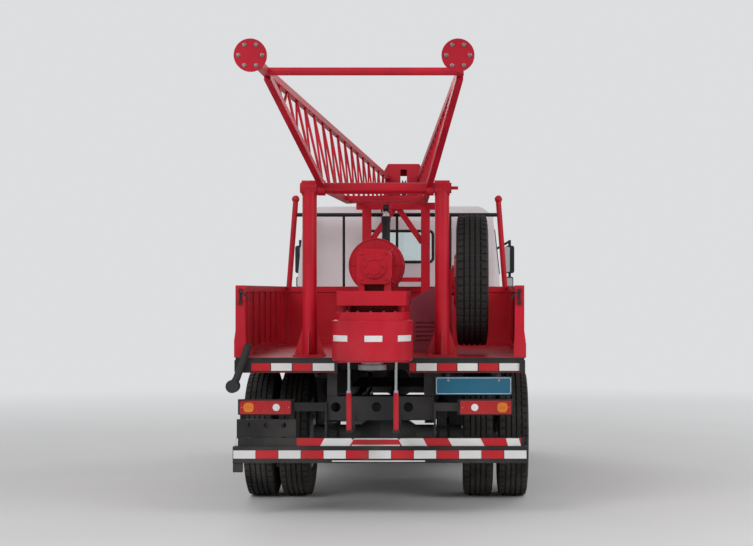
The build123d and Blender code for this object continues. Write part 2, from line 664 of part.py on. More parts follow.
def side_board():
    """A drop side: pressed sheet with stiffening ribs, hinge knuckles and end latches."""
    z0, z1 = FLOOR_Z + MOVE_GAP + 2, BOARD_TOP
    x0, x1 = BED_HALF - BOARD_T, BED_HALF
    board = box(x0 + 12, x1 - 2, BOARD_Y0, BOARD_Y1, z0, z1)
    board += box(x0, x1, BOARD_Y0, BOARD_Y1, z0, z1) - box(
        x0 - 1, x1 + 1, BOARD_Y0 + BOARD_RIM, BOARD_Y1 - BOARD_RIM, z0 + BOARD_RIM,
        z1 - BOARD_RIM)
    step = (BOARD_Y1 - BOARD_Y0) / (BOARD_RIBS + 1)
    for i in range(BOARD_RIBS):
        y = BOARD_Y0 + step * (i + 1)
        board += box(x0, x1, y - RIB_W / 2, y + RIB_W / 2, z0 + 40, z1 - 40)
    for y in hinge_places():
        strap = box(BED_HALF - 6, HINGE_X + HINGE_R, y - HINGE_L / 2, y + HINGE_L / 2,
                    HINGE_Z + 2, FLOOR_Z + 90)
        strap -= box(BED_HALF - 8, BED_HALF + 2.5, y - HINGE_L, y + HINGE_L, HINGE_Z - 20, z0)
        strap += tube_y(HINGE_X, y - HINGE_L / 2, y + HINGE_L / 2, HINGE_Z, HINGE_R)
        strap -= tube_y(HINGE_X, y - HINGE_L, y + HINGE_L, HINGE_Z, HINGE_PIN_R + RUN_GAP)
        board += strap
    return board


def headboard():
    """Front wall of the bed, ribbed, with the rack of tubes that guards the cab."""
    y0, y1 = BED_LEN - HEAD_T, BED_LEN
    wall = box(-BED_HALF, BED_HALF, y0 + 12, y1, FLOOR_Z, BOARD_TOP)
    wall += box(-BED_HALF, BED_HALF, y0, y1, FLOOR_Z, BOARD_TOP) - box(
        -BED_HALF + HEAD_RIM, BED_HALF - HEAD_RIM, y0 - 1, y1 + 1, FLOOR_Z + HEAD_RIM,
        BOARD_TOP - HEAD_RIM)
    for i in range(HEAD_RIBS):
        x = -BED_HALF + 2 * BED_HALF * (i + 1) / (HEAD_RIBS + 1)
        wall += box(x - RIB_W / 2, x + RIB_W / 2, y0, y1, FLOOR_Z + 40, BOARD_TOP - 40)
    y = BED_LEN - HEAD_T / 2
    z = BOARD_TOP - 20
    for x in RACK_POSTS_X:
        wall += rod((x, y, z), (x, y, RACK_BAR_Z), RACK_R)
    for end in (-1, 1):
        wall += rod((end * RACK_FOOT_X, y, z), (end * RACK_END_X, y, RACK_TOP_Z), RACK_END_R)
        wall += Pos(end * RACK_END_X, y, RACK_TOP_Z + 20) * Sphere(RACK_KNOB_R)
    lean = (RACK_FOOT_X - RACK_END_X) * (RACK_TOP_Z - RACK_BAR_Z) / (RACK_TOP_Z - z)
    wall += tube_x(-RACK_END_X - lean, RACK_END_X + lean, y, RACK_BAR_Z, RACK_BAR_R)
    return wall


# Cab

CAB_SIDE = [
    (CAB_Y0, CAB_FLOOR_Z), (CAB_Y0, CAB_EAVES_Z), (CAB_Y0 + 130, CAB_ROOF_Z),
    (SCREEN_TOP_Y - 220, CAB_ROOF_Z), (SCREEN_TOP_Y, CAB_ROOF_Z - 70),
    (CAB_Y1 - 75, CAB_BELT_Z - 50), (CAB_Y1, CAB_BELT_Z - 150), (CAB_Y1, CAB_APRON_Z),
    (APRON_BACK_Y, CAB_APRON_Z), (APRON_BACK_Y, CAB_FLOOR_Z),
]
CAB_FRONT = [
    (-CAB_HALF, CAB_APRON_Z), (-CAB_HALF, CAB_BELT_Z), (-CAB_EAVES_HALF, CAB_EAVES_Z),
    (-CAB_EAVES_HALF + 110, CAB_ROOF_Z), (CAB_EAVES_HALF - 110, CAB_ROOF_Z),
    (CAB_EAVES_HALF, CAB_EAVES_Z), (CAB_HALF, CAB_BELT_Z), (CAB_HALF, CAB_APRON_Z),
]


def cab_footprint(inset, z0, z1):
    """The cab's outline from above, with rounded corners, carried up from z0 to z1."""
    plan = Rectangle(2 * CAB_HALF, CAB_LEN)
    plan = fillet(plan.vertices().sort_by(Axis.Y)[:2], CAB_CORNER_R)
    plan = fillet(plan.vertices().sort_by(Axis.Y)[-2:], CAB_NOSE_R)
    if inset:
        plan = offset(plan, -inset, kind=Kind.INTERSECTION)
    return extrude(Plane(origin=(0, CAB_Y0 + CAB_LEN / 2, z0)) * plan, z1 - z0)


def cab_form(inset):
    """The cab's outer form, or the same form drawn in by the wall."""
    side = make_face(Polyline(*CAB_SIDE, close=True))
    side = fillet([v for v in side.vertices() if v.Y > CAB_BELT_Z - 200], CAB_EDGE_R)
    front = make_face(Polyline(*CAB_FRONT, close=True))
    front = fillet([v for v in front.vertices() if v.Y > CAB_BELT_Z + 100], CAB_EDGE_R)
    if inset:
        side = offset(side, -inset, kind=Kind.INTERSECTION)
        front = offset(front, -inset, kind=Kind.INTERSECTION)
    across = Plane(origin=(-CAB_HALF, 0, 0), x_dir=(0, 1, 0), z_dir=(1, 0, 0))
    along = Plane(origin=(0, CAB_Y1, 0), x_dir=(1, 0, 0), z_dir=(0, -1, 0))
    form = extrude(across * side, 2 * CAB_HALF) & extrude(along * front, CAB_LEN)
    return form & cab_footprint(inset, CAB_APRON_Z, CAB_ROOF_Z)


def door_outline(grow):
    """The door's edge as (y, z) points, grown or drawn in by a gap."""
    return [
        (DOOR_Y0 - grow, DOOR_FOOT_Z - grow), (DOOR_Y1 + grow, DOOR_FOOT_Z - grow),
        (DOOR_Y1 + grow, CAB_BELT_Z - 40 + grow), (DOOR_TOP_Y + grow, DOOR_HEAD_Z + grow),
        (DOOR_Y0 - grow, DOOR_HEAD_Z + grow),
    ]


WINDOW_OUTLINE = [
    (DOOR_Y0 + 90, CAB_BELT_Z + 20), (DOOR_Y1 - 150, CAB_BELT_Z + 20),
    (DOOR_TOP_Y - 50, DOOR_HEAD_Z - 70), (DOOR_Y0 + 90, DOOR_HEAD_Z - 70),
]
QUARTER_OUTLINE = [
    (CAB_Y0 + 110, CAB_BELT_Z + 60), (DOOR_Y0 - 70, CAB_BELT_Z + 60),
    (DOOR_Y0 - 70, DOOR_HEAD_Z - 90), (CAB_Y0 + 110, DOOR_HEAD_Z - 90),
]
SCREEN_OUTLINE = [
    (-SCREEN_HALF_LOW, SCREEN_Z0), (SCREEN_HALF_LOW, SCREEN_Z0),
    (SCREEN_HALF_TOP, SCREEN_Z1), (-SCREEN_HALF_TOP, SCREEN_Z1),
]
BACK_CUT = box(-MIRROR_X, MIRROR_X, CAB_Y0 - 1, CAB_Y0 + CAB_WALL + 20, 0, EAVES_CUT_Z)
ROOF_CUT = box(-MIRROR_X, MIRROR_X, CAB_Y0 - 1, CAB_Y1, EAVES_CUT_Z, CAB_ROOF_Z + 1)
FRONT_CUT = prism_x([(SCREEN_TOP_Y - 48, CAB_EAVES_Z), (SCREEN_TOP_Y - 48, EAVES_CUT_Z),
                     (DOOR_Y1 + 40, CAB_BELT_Z), (DOOR_Y1 + 40, CAB_APRON_Z - 1),
                     (CAB_Y1 + 1, CAB_APRON_Z - 1), (CAB_Y1 + 1, CAB_EAVES_Z)],
                    -MIRROR_X, MIRROR_X)


def door_hinges():
    """The door's knuckles with their leaves, and the pins with their ears on the pillar."""
    knuckles, pins = None, None
    x, y, t = DOOR_HINGE_X, DOOR_HINGE_Y, HINGE_EAR_T
    for z in DOOR_HINGES_Z:
        z1 = z + DOOR_HINGE_L
        roll = tube_z(x, y, z, z1, DOOR_HINGE_R) + box(CAB_HALF - 3, x + 2, y - 46, y - 4, z, z1)
        roll -= tube_z(x, y, z - 1, z1 + 1, DOOR_HINGE_R / 2 + RUN_GAP)
        knuckles = roll if knuckles is None else knuckles + roll
        pin = tube_z(x, y, z - t, z1 + t, DOOR_HINGE_R / 2)
        for z0 in (z - t - 1, z1 + 1):
            pin += box(CAB_HALF + 2, x + 7, y - 7, y + 10, z0, z0 + t)
            pin += box(CAB_HALF - 3, x + 7, y + MOVE_GAP / 2, y + 34, z0, z0 + t)
        pins = pin if pins is None else pins + pin
    return knuckles, pins


def grille_slats():
    """Slanted slats and two bars that stand in the opening below the windscreen."""
    y0, y1 = CAB_Y1 - CAB_WALL + 2, CAB_Y1 - 3
    pitch = (GRILLE_Z1 - GRILLE_Z0) / (GRILLE_SLATS + 1)
    group = None
    for i in range(GRILLE_SLATS):
        z = GRILLE_Z0 + pitch * (i + 1)
        slat = prism_x([(y0, z + SLAT_W / 2), (y1, z - SLAT_W / 2),
                        (y1, z - SLAT_W / 2 + SLAT_T), (y0, z + SLAT_W / 2 + SLAT_T)],
                       -GRILLE_HALF - 8, GRILLE_HALF + 8)
        group = slat if group is None else group + slat
    for x in (-GRILLE_HALF / 3, GRILLE_HALF / 3):
        group += box(x - 7, x + 7, y0 + 3, y1 - 4, GRILLE_Z0 - 8, GRILLE_Z1 + 8)
    return group


def cab_panels():
    """The hollow cab, split into back, roof, front and sides, with doors and glass."""
    shell = cab_form(0) - cab_form(CAB_WALL)
    shell -= cab_footprint(CAB_WALL, CAB_APRON_Z - 1, CAB_FLOOR_Z + CAB_WALL + 1)
    screen = prism_y(SCREEN_OUTLINE, SCREEN_TOP_Y - 140, CAB_Y1 + 1)
    rear_window = box(-REAR_WIN_HALF, REAR_WIN_HALF, CAB_Y0 - 1, CAB_Y0 + 2 * CAB_WALL,
                      REAR_WIN_Z0, REAR_WIN_Z1)
    quarter = prism_x(QUARTER_OUTLINE, -MIRROR_X, MIRROR_X)
    window = prism_x(WINDOW_OUTLINE, 0, MIRROR_X)
    glazed = cab_form(CAB_WALL / 2 - GLASS_T / 2) - cab_form(CAB_WALL / 2 + GLASS_T / 2)
    doorway = prism_x(door_outline(MOVE_GAP), -MIRROR_X, MIRROR_X)
    rest = shell - screen - rear_window - quarter - doorway
    back = rest & BACK_CUT
    roof = rest & ROOF_CUT
    front = rest & FRONT_CUT
    front -= ROOF_CUT
    opening = box(-GRILLE_HALF, GRILLE_HALF, CAB_Y1 - 2 * CAB_WALL, CAB_Y1 + 1, GRILLE_Z0,
                  GRILLE_Z1)
    front -= fillet(opening.edges().filter_by(Axis.Y), 40)
    front += grille_slats()
    sides = rest - BACK_CUT - ROOF_CUT - FRONT_CUT
    door = (shell & prism_x(door_outline(0), 0, MIRROR_X)) - window
    knuckles, pins = door_hinges()
    door += knuckles
    sides += pins + mirrored(pins)
    glass = (glazed & screen) + (glazed & rear_window) + (glazed & quarter)
    door_glass = glazed & window
    return back, roof, front, sides, door, glass, door_glass


def cab_floor():
    """Pressed floor with the engine tunnel between the seats."""
    t = FLOOR_PAN_T
    half = CAB_HALF - CAB_WALL - 1
    z0, z1 = CAB_FLOOR_Z, TUNNEL_Z
    rise = [(-half, z0), (-TUNNEL_HALF, z0), (-TUNNEL_HALF + 40, z1)]
    fall = [(-TUNNEL_HALF + 30, z1 + t), (-TUNNEL_HALF - t, z0 + t), (-half, z0 + t)]
    outline = rise + [(-x, z) for x, z in reversed(rise)]
    outline += [(-x, z) for x, z in reversed(fall)] + fall
    floor = prism_y(outline, CAB_Y0 + CAB_WALL, PAN_Y1) & cab_footprint(CAB_WALL, z0, z1 + t)
    floor += box(-half, half, PAN_Y1, PAN_Y1 + t, z0, z0 + 340)
    for y in (CAB_Y0 + 120, PAN_Y1 - 110):
        floor += both(box(RAIL_X - 60, RAIL_X, y, y + 80, RAIL_TOP, z0))
    return floor


def seat(x0, x1):
    """One seat: cushion and leaning back on a box base."""
    y0 = CAB_Y0 + 190
    z0 = CAB_FLOOR_Z + FLOOR_PAN_T
    seat_z0, seat_z1 = z0 + 270, z0 + 400
    cushion = box(x0, x1, y0, y0 + 500, seat_z0, seat_z1)
    cushion = fillet(cushion.edges().filter_by(Axis.Z), 45)
    back = prism_x([(y0, seat_z1), (y0 + 130, seat_z1), (y0 + 40, seat_z1 + 580),
                    (y0 - 70, seat_z1 + 580)], x0, x1)
    return box(x0 + 40, x1 - 40, y0 + 60, y0 + 420, z0, seat_z0) + cushion + back


def dashboard():
    """Dashboard with the steering column and its wheel, a rim on one broad spoke."""
    half = CAB_HALF - CAB_WALL - 20
    y, z = PAN_Y1 - 50, CAB_FLOOR_Z
    body = prism_x([(y - 180, z + 260), (y, z + 260), (y + 40, z + 380), (y + 150, z + 520),
                    (y + 150, z + 560), (y - 100, z + 580), (y - 180, z + 520)], -half, half)
    hub_y, hub_z = y - 410, z + 580
    column = rod((WHEEL_X, y - 100, z + 410), (WHEEL_X, hub_y, hub_z), 32)
    rake = (0, -310, 170)
    face = ring(WHEEL_R, WHEEL_R - 30)
    wheel = extrude(Plane(origin=(WHEEL_X, hub_y, hub_z), z_dir=rake) * face, 26)
    spoke = bar((WHEEL_X - WHEEL_R + 15, hub_y, hub_z), (WHEEL_X + WHEEL_R - 15, hub_y, hub_z),
                12, 40, (0, 310, 170))
    feet = both(box(half - 60, half, y - 140, y - 40, z + FLOOR_PAN_T, z + 270))
    return body + column + wheel + spoke + feet


def front_bumper():
    """Wrapped bumper with rounded corners and lamp pockets, and its brackets to the frame."""
    z0, z1 = BUMPER_Z0, BUMPER_Z1
    middle_y = (BUMPER_Y0 + BUMPER_Y1) / 2

    def wrap(inset, lift):
        """A bar whose front corners are rounded, drawn in by an inset."""
        half = BUMPER_HALF - inset
        bar_form = box(-half, half, BUMPER_Y0 - lift, BUMPER_Y1 - inset, z0 - lift, z1 + lift)
        front_edges = [e for e in bar_form.edges().filter_by(Axis.Z) if e.center().Y > middle_y]
        return fillet(front_edges, BUMPER_CORNER_R - inset)

    shell = wrap(0, 0) - wrap(BUMPER_T, 10)
    pocket_y = BUMPER_Y1 - 2 * BUMPER_T
    for side in (-1, 1):
        x = side * HEADLAMP_X
        shell -= box(x - HEADLAMP_W / 2, x + HEADLAMP_W / 2, pocket_y, BUMPER_Y1 + 1,
                     HEADLAMP_Z0, HEADLAMP_Z0 + HEADLAMP_H)
    shell -= box(-330, 330, pocket_y, BUMPER_Y1 + 1, z0 + 90, z0 + 180)
    arms = both(box(RAIL_X - 60, RAIL_X, RAIL_Y1, BUMPER_Y1 - BUMPER_T + 0.5, RAIL_Z0 + 20,
                    RAIL_Z0 + 120))
    return shell + arms


def head_lamps():
    """A rounded lamp in each pocket of the bumper, with its back shell."""
    x0, x1 = HEADLAMP_X - HEADLAMP_W / 2, HEADLAMP_X + HEADLAMP_W / 2
    z0, z1 = HEADLAMP_Z0, HEADLAMP_Z0 + HEADLAMP_H
    lens_y = BUMPER_Y1 - 70
    lamp = box(x0 + RUN_GAP, x1 - RUN_GAP, lens_y, BUMPER_Y1 - 6, z0 + RUN_GAP, z1 - RUN_GAP)
    lamp = fillet(lamp.faces().sort_by(Axis.Y)[-1].edges(), 12)
    return both(lamp + box(x0 + 40, x1 - 40, lens_y - 50, lens_y, z0 + 30, z1 - 30))


def mirrors():
    """Main and lower mirrors on a looped arm at each front corner of the cab."""
    y, post_x = MIRROR_Y, MIRROR_X - 46
    top = REAR_WIN_Z1 - 87
    head = box(MIRROR_X - 92, MIRROR_X, y - 24, y + 24, top - 280, top)
    head = fillet(head.edges().filter_by(Axis.Y), 24)
    low = box(MIRROR_X - 86, MIRROR_X - 10, y - 22, y + 22, top - 420, top - 315)
    low = fillet(low.edges().filter_by(Axis.Y), 18)
    post = tube_z(post_x, y + 34, top - 430, top + 58, 14)
    arm = rod((CAB_HALF - 60, y - 10, top - 70), (post_x, y + 34, top + 45), 12)
    foot = rod((CAB_HALF - 60, y + 10, top - 540), (post_x, y + 34, top - 410), 12)
    return head + low + post + arm + foot - cab_form(0)


def mudguards():
    """Arched guards over the front wheels, with rounded shoulders."""
    y = FRONT_AXLE_Y
    x0, x1 = FRONT_TYRE_X - 110, CAB_HALF + 30
    top = CAB_FLOOR_Z - 14
    foot, knee = RAIL_Z0 + 40, RAIL_Z0 + 200

    def arch(inset):
        """The guard's outline from the side, drawn in by an inset."""
        half, crest = ARCH_HALF - inset, 430 - inset / 2
        outline = make_face(Polyline(
            (y - half, foot - inset), (y - half, knee), (y - crest, top - inset),
            (y + crest, top - inset), (y + half, knee), (y + half, foot - inset), close=True))
        bends = [v for v in outline.vertices() if v.Y > foot + 20]
        plane = Plane(origin=(x0 - inset, 0, 0), x_dir=(0, 1, 0), z_dir=(1, 0, 0))
        return extrude(plane * fillet(bends, ARCH_R), x1 - x0 + 2 * inset)

    return arch(0) - arch(ARCH_T) + box(x0, x0 + 40, y - 20, y + 20, top - ARCH_T / 2, CAB_FLOOR_Z)


def side_guards():
    """Two rails along each side between the axles, on hangers from the bed."""
    x = BED_HALF - 40
    y0, y1 = REAR_AXLE_Y + 560, FRONT_AXLE_Y - 640
    group = None
    for z in (RAIL_Z0 - 140, RAIL_Z0 + 80):
        rail = box(x - 12, x + 12, y0, y1, z, z + 90)
        group = rail if group is None else group + rail
    for y in (y0 + 80, BED_LEN - 60):
        group += box(x - 40, x - 12, y, y + 50, RAIL_Z0 - 140, FLOOR_Z - SKIRT_H)
    return group


# Rear of the truck

def underrun_bar():
    """Stepped bar with its arms to the frame and the perforated lamp brackets."""
    body = box(-BAR_HALF, BAR_HALF, 0, BAR_DEPTH, BAR_Z0, BAR_Z1)
    body += box(-BAR_HALF + 20, BAR_HALF - 20, 24, 60, BAR_Z1, BAR_FACE_TOP)
    arm = prism_x([(20, BAR_Z0 + 30), (BAR_DEPTH - 8, BAR_Z0 + 30), (240, RAIL_Z0 + 40),
                   (240, RAIL_Z0 + 150), (60, RAIL_Z0 + 150), (36, BAR_FACE_TOP + 20)],
                  RAIL_X, RAIL_X + 12)
    body += arm + mirrored(arm)
    y0, y1 = 66.0, 74.0
    half = LAMP_W / 2 + 10
    for x in LAMP_CENTRES:
        side = 1 if x > 0 else -1
        reach = sorted((side * (RAIL_X + 6), x - side * (half - 20)))
        body += box(x - half, x + half, y0, y1, LAMP_Z - 55, LAMP_Z + 55)
        body += box(*reach, y0, y1 + 60, LAMP_Z - 30, LAMP_Z + 30)
    x0, x1 = LAMP_CENTRES[0] - 205, LAMP_CENTRES[0] + 215
    z0, z1 = BAR_FACE_TOP - 55, LAMP_Z - 86
    plate = box(x0, x1, 40, 46, z0, z1) + box(x0, x1, 40, y1, z1 - 6, z1)
    for x in (x0 + 40, x1 - 40):
        plate += box(x - 20, x + 20, y0, y1, z1 - 6, LAMP_Z - 50)
    for col in range(3):
        for row in range(2):
            plate -= tube_y(x0 + 85 + col * 125, 30, 60, z0 + 45 + row * 98, 18)
    return body + plate


def tail_lamps():
    """Combined rear lamps: a housing with a lens that stands out of it."""
    lamps = []
    for x in LAMP_CENTRES:
        lamp = None
        for inset, y0, y1, corner in ((0.0, 32.0, 65.7, 14.0), (8.0, 20.0, 34.0, 10.0)):
            half_w, half_h = LAMP_W / 2 - inset, LAMP_H / 2 - inset
            step = box(x - half_w, x + half_w, y0, y1, LAMP_Z - half_h, LAMP_Z + half_h)
            step = fillet(step.edges().filter_by(Axis.Y), corner)
            lamp = step if lamp is None else lamp + step
        lamps.append(lamp)
    return together(*lamps)


def rear_plate():
    """Blank number plate with its two hangers below the bed's skirt."""
    plate = box(PLATE_X0, PLATE_X1, 14, 18, PLATE_Z0, PLATE_Z1)
    low = FLOOR_Z - SKIRT_H
    for x in (PLATE_X0 + 90, PLATE_X1 - 90):
        plate += box(x - 15, x + 15, 18, 22, PLATE_Z0 + 40, low)
        plate += box(x - 15, x + 15, 18, 40, low - 4, low)
    return plate


def marker_lamp():
    """Rubber stalk with a marker lamp at the bed's rear left corner."""
    foot_x, radius = -BED_HALF + 95, 26.0
    knee = (foot_x - 80, -45, FLOOR_Z - 145)
    end = (foot_x - 107, -48, FLOOR_Z - 190)
    stalk = rod((foot_x, -32, FLOOR_Z + 85), knee, radius) + Pos(*knee) * Sphere(radius)
    stalk += rod(knee, end, radius)
    head = tube_y(end[0], -85, 5, end[2] - 10, 46)
    return stalk + head + box(foot_x - 25, foot_x + 20, -36, 0, FLOOR_Z + 60, FLOOR_Z + 95)


def spare_tyre():
    """The spare, upright and across the bed."""
    return tyre(SPARE_X, SPARE_Y, SPARE_Z)


def spare_rim():
    """The spare's rim, bolted to a stand on the bed."""
    y, z = SPARE_Y, SPARE_Z
    face = SPARE_X - DISC_OFFSET
    plate_x, post_x = face - 14, face - 44
    stand = rim(SPARE_X, y, -1, z)
    stand += box(plate_x, face, y - 95, y + 95, z - 95, z + 95)
    stand += tube_x(plate_x, face, y, z, HUB_R + 22)
    stand += box(post_x, plate_x, y - 60, y + 60, FLOOR_Z, z + 80)
    for y0, y1 in ((y - 150, y + 150), (y + 140, y + 260)):
        stand += box(face - 90, face + 10, y0, y1, FLOOR_Z, FLOOR_Z + 14)
    return stand + prism_x([(y + 60, FLOOR_Z + 10), (y + 240, FLOOR_Z + 10), (y + 60, z - 120)],
                           post_x + 8, post_x + 20)


# Gantry and mast

def gantry_posts():
    """Two round posts with gussets at the foot and a sleeve for the pivot tube on top."""
    posts = []
    for side in (-1, 1):
        x = RIG_X + side * POST_X
        post = tube_z(x, PIVOT_Y, FLOOR_Z, PIVOT_Z, POST_R)
        post += box(x - POST_FOOT, x + POST_FOOT, PIVOT_Y - POST_FOOT, PIVOT_Y + POST_FOOT,
                    FLOOR_Z, FLOOR_Z + 14)
        flare = [(POST_R - 4, FLOOR_Z + 10), (POST_FOOT - 6, FLOOR_Z + 10),
                 (POST_FOOT - 6, FLOOR_Z + 30), (POST_R - 4, FLOOR_Z + 210)]
        for way in (-1, 1):
            post += prism_y([(x + way * a, z) for a, z in flare], PIVOT_Y - 5, PIVOT_Y + 5)
            post += prism_x([(PIVOT_Y + way * a, z) for a, z in flare], x - 5, x + 5)
        post += tube_x(x - SLEEVE_L / 2, x + SLEEVE_L / 2, PIVOT_Y, PIVOT_Z, PIVOT_R + SLEEVE_T)
        post -= tube_x(x - SLEEVE_L, x + SLEEVE_L, PIVOT_Y, PIVOT_Z, PIVOT_R)
        posts.append(post)
    return together(*posts)


def pivot_tube():
    """The tube that the mast turns on, with its locking pin at the right end."""
    half = POST_X + SLEEVE_L / 2 + 12
    tube = tube_x(RIG_X - half, RIG_X + half, PIVOT_Y, PIVOT_Z, PIVOT_R)
    return tube + tube_x(RIG_X + half, RIG_X + half + 48, PIVOT_Y, PIVOT_Z, 12)


def top_x(y):
    """Half spacing of the top chords at y."""
    share = (y - TIE_Y) / (CROWN_Y - TIE_Y)
    return TIE_X + (CROWN_X - TIE_X) * share


def top_z(y):
    """Height of the top chords at y."""
    share = (y - TIE_Y) / (CROWN_Y - TIE_Y)
    return TIE_Z + (CROWN_Z - TIE_Z) * share


def low_x(y):
    """Half spacing of the lower chords ahead of the pivot, at y."""
    share = (y - PIVOT_Y) / (CROWN_Y - PIVOT_Y)
    return LEG_LOW_X + (CROWN_X - LEG_LOW_X) * share


def low_z(y):
    """Height of the lower chords ahead of the pivot: level to the knee, then rising."""
    if y <= KNEE_Y:
        return PIVOT_Z
    return PIVOT_Z + (CROWN_LOW_Z - PIVOT_Z) * (y - KNEE_Y) / (CROWN_Y - KNEE_Y)


def leg_point(share):
    """A point on the rear leg of the lower chord, from the pivot back to the tie tube."""
    y = PIVOT_Y + (LEG_END_Y - PIVOT_Y) * share
    x = LEG_LOW_X + (top_x(LEG_END_Y) - LEG_LOW_X) * share
    z = PIVOT_Z + (top_z(LEG_END_Y) - CHORD / 2 - PIVOT_Z) * share
    return (x, y, z)


def mast_chords():
    """The right side's top chord with its leg, and its lower chord."""
    top = [(FOOT_X, FOOT_Y + FOOT_T, FOOT_Z), (TIE_X, TIE_Y, TIE_Z),
           (CROWN_X, CROWN_Y - 60, top_z(CROWN_Y - 60))]
    low = [leg_point(1.0), leg_point(0.0), (low_x(KNEE_Y), KNEE_Y, low_z(KNEE_Y)),
           (CROWN_X, CROWN_Y - 60, low_z(CROWN_Y - 60))]
    truss = bar(top[0], top[1], CHORD, CHORD) + bar(top[1], top[2], CHORD, CHORD)
    for a, b in zip(low, low[1:]):
        truss += bar(a, b, CHORD, CHORD)
    return truss


def mast_truss():
    """The right side of the mast: chords, lacing, its pivot sleeve and its foot."""
    truss = mast_chords()
    joints = []
    for i in range(PANELS_REAR + 1):
        share = 1 - i / PANELS_REAR
        if share == 1.0:
            continue
        below = leg_point(share)
        y = below[1] + 40 * share
        joints.append(((top_x(y), y, top_z(y)), below))
    front_y0, front_y1 = PIVOT_Y, CROWN_Y - CROWN_LEN
    for i in range(1, PANELS_FRONT + 1):
        y = front_y0 + (front_y1 - front_y0) * i / PANELS_FRONT
        joints.append(((top_x(y), y, top_z(y)), (low_x(y), y, low_z(y))))
    for upper, lower in joints:
        truss += bar(upper, lower, LACE, LACE_W)
    for (_, lower), (upper, _) in zip(joints, joints[1:]):
        truss += bar(lower, upper, LACE, LACE)
    sleeve_x = MAST_SLEEVE_X
    truss += tube_x(sleeve_x - MAST_SLEEVE_L / 2, sleeve_x + MAST_SLEEVE_L / 2, PIVOT_Y, PIVOT_Z,
                    PIVOT_R + SLEEVE_T)
    truss -= tube_x(sleeve_x - MAST_SLEEVE_L, sleeve_x + MAST_SLEEVE_L, PIVOT_Y, PIVOT_Z,
                    PIVOT_R + RUN_GAP)
    truss += tube_y(FOOT_X, FOOT_Y, FOOT_Y + FOOT_T, FOOT_Z, FOOT_R)
    return truss - box(0, FOOT_X, CROWN_PLATE_Y, CROWN_Y, CROWN_LOW_Z - CROWN_LEN,
                       CROWN_TOP_Z + CROWN_LEN)


def mast_cross():
    """The tie tube between the legs, the struts below and the beam over the cylinder."""
    pieces = [tube_x(-TIE_X + CHORD / 2, TIE_X - CHORD / 2, TIE_Y, TIE_Z, TIE_R)]
    half = STRUT / 2
    for i in range(0, PANELS_FRONT, 2):
        y = PIVOT_Y + (CROWN_Y - CROWN_LEN - PIVOT_Y) * (i + 1) / PANELS_FRONT
        x, z = low_x(y) - CHORD / 2, low_z(y)
        pieces.append(box(-x, x, y - half, y + half, z - half, z + half))
    y, z = CYL_EYE_Y, low_z(CYL_EYE_Y)
    beam = box(-low_x(y), low_x(y), y - CYL_EYE_R, y + CYL_EYE_R, z - half, z + half)
    for side in (-1, 1):
        x = side * EYE_CHEEK_X
        beam += box(x - EYE_CHEEK_T / 2, x + EYE_CHEEK_T / 2, y - CYL_EYE_R, y + CYL_EYE_R,
                    CYL_EYE_Z - CYL_EYE_R - 4, z)
    pieces.append(beam)
    chords = mast_chords()
    chords += mirrored(chords)
    return together(*[piece - chords for piece in pieces])


def mast_crown():
    """The crown block: two cheeks, a cap with its slot, gussets and the sheave's pin."""
    y0, y1, t = CROWN_PLATE_Y, CROWN_Y, CROWN_CHEEK_T
    x_out, top, low = CROWN_X, CROWN_TOP_Z, SHEAVE_Z - 60
    cheek = box(x_out - t, x_out, y0, y1, low, top)
    crown = cheek + mirrored(cheek)
    crown += box(-x_out, x_out, y1 - 12, y1, top - 110, top)
    plate_x = top_x(y0) + CHORD / 2 + 8
    crown += box(-plate_x, plate_x, y0, y0 + t, low_z(y0) - CHORD / 2 - 8, top_z(y0) + CHORD)
    crown += box(-x_out, x_out, y0, y0 + t, top_z(y0), top)
    crown -= box(-CROWN_SLOT, CROWN_SLOT, y0 - 1, y0 + t + 1, low, top - 60)
    crown += box(-x_out, x_out, y0, y1, top - 12, top)
    crown += tube_x(-x_out + 2, x_out - 2, SHEAVE_Y, SHEAVE_Z, SHEAVE_PIN_R)
    gusset = prism_y([(x_out, CROWN_Z + 10), (x_out, top), (x_out + 16, top),
                      (x_out + 90, CROWN_Z + 30)], y0 + 10, y0 + 22)
    return crown + gusset + mirrored(gusset)


def crown_sheave():
    """Grooved sheave on the crown's pin."""
    half = SHEAVE_W / 2
    bore = SHEAVE_PIN_R + RUN_GAP
    groove_r = SHEAVE_R - 20
    outline = [(-half, bore), (-half, SHEAVE_R), (-half * 0.6, SHEAVE_R),
               (-half * 0.25, groove_r), (half * 0.25, groove_r), (half * 0.6, SHEAVE_R),
               (half, SHEAVE_R), (half, bore)]
    return Pos(RIG_X, 0, 0) * lathe_x(outline, SHEAVE_Y, SHEAVE_Z)


def mast_rest():
    """Frame behind the headboard that the mast lies on."""
    y0, y1 = REST_Y - REST_POST / 2, REST_Y + REST_POST / 2
    top = low_z(REST_Y) - CHORD / 2 - 4
    rail_z = FLOOR_Z + 570
    frame = box(-REST_HALF, REST_HALF, y0, y1, top - 60, top)
    frame += box(-REST_X, REST_X, REST_Y - 20, REST_Y + 20, rail_z - 20, rail_z + 20)
    for side in (-1, 1):
        x = side * REST_X
        inner = side * (REST_X - REST_POST / 2 + 10)
        frame += box(x - REST_POST / 2, x + REST_POST / 2, y0, y1, FLOOR_Z, top - 30)
        frame += bar((side * 12, REST_Y, top - 40), (inner, REST_Y, top - 350), REST_BRACE, 34)
    return frame


# Winch, head and feed

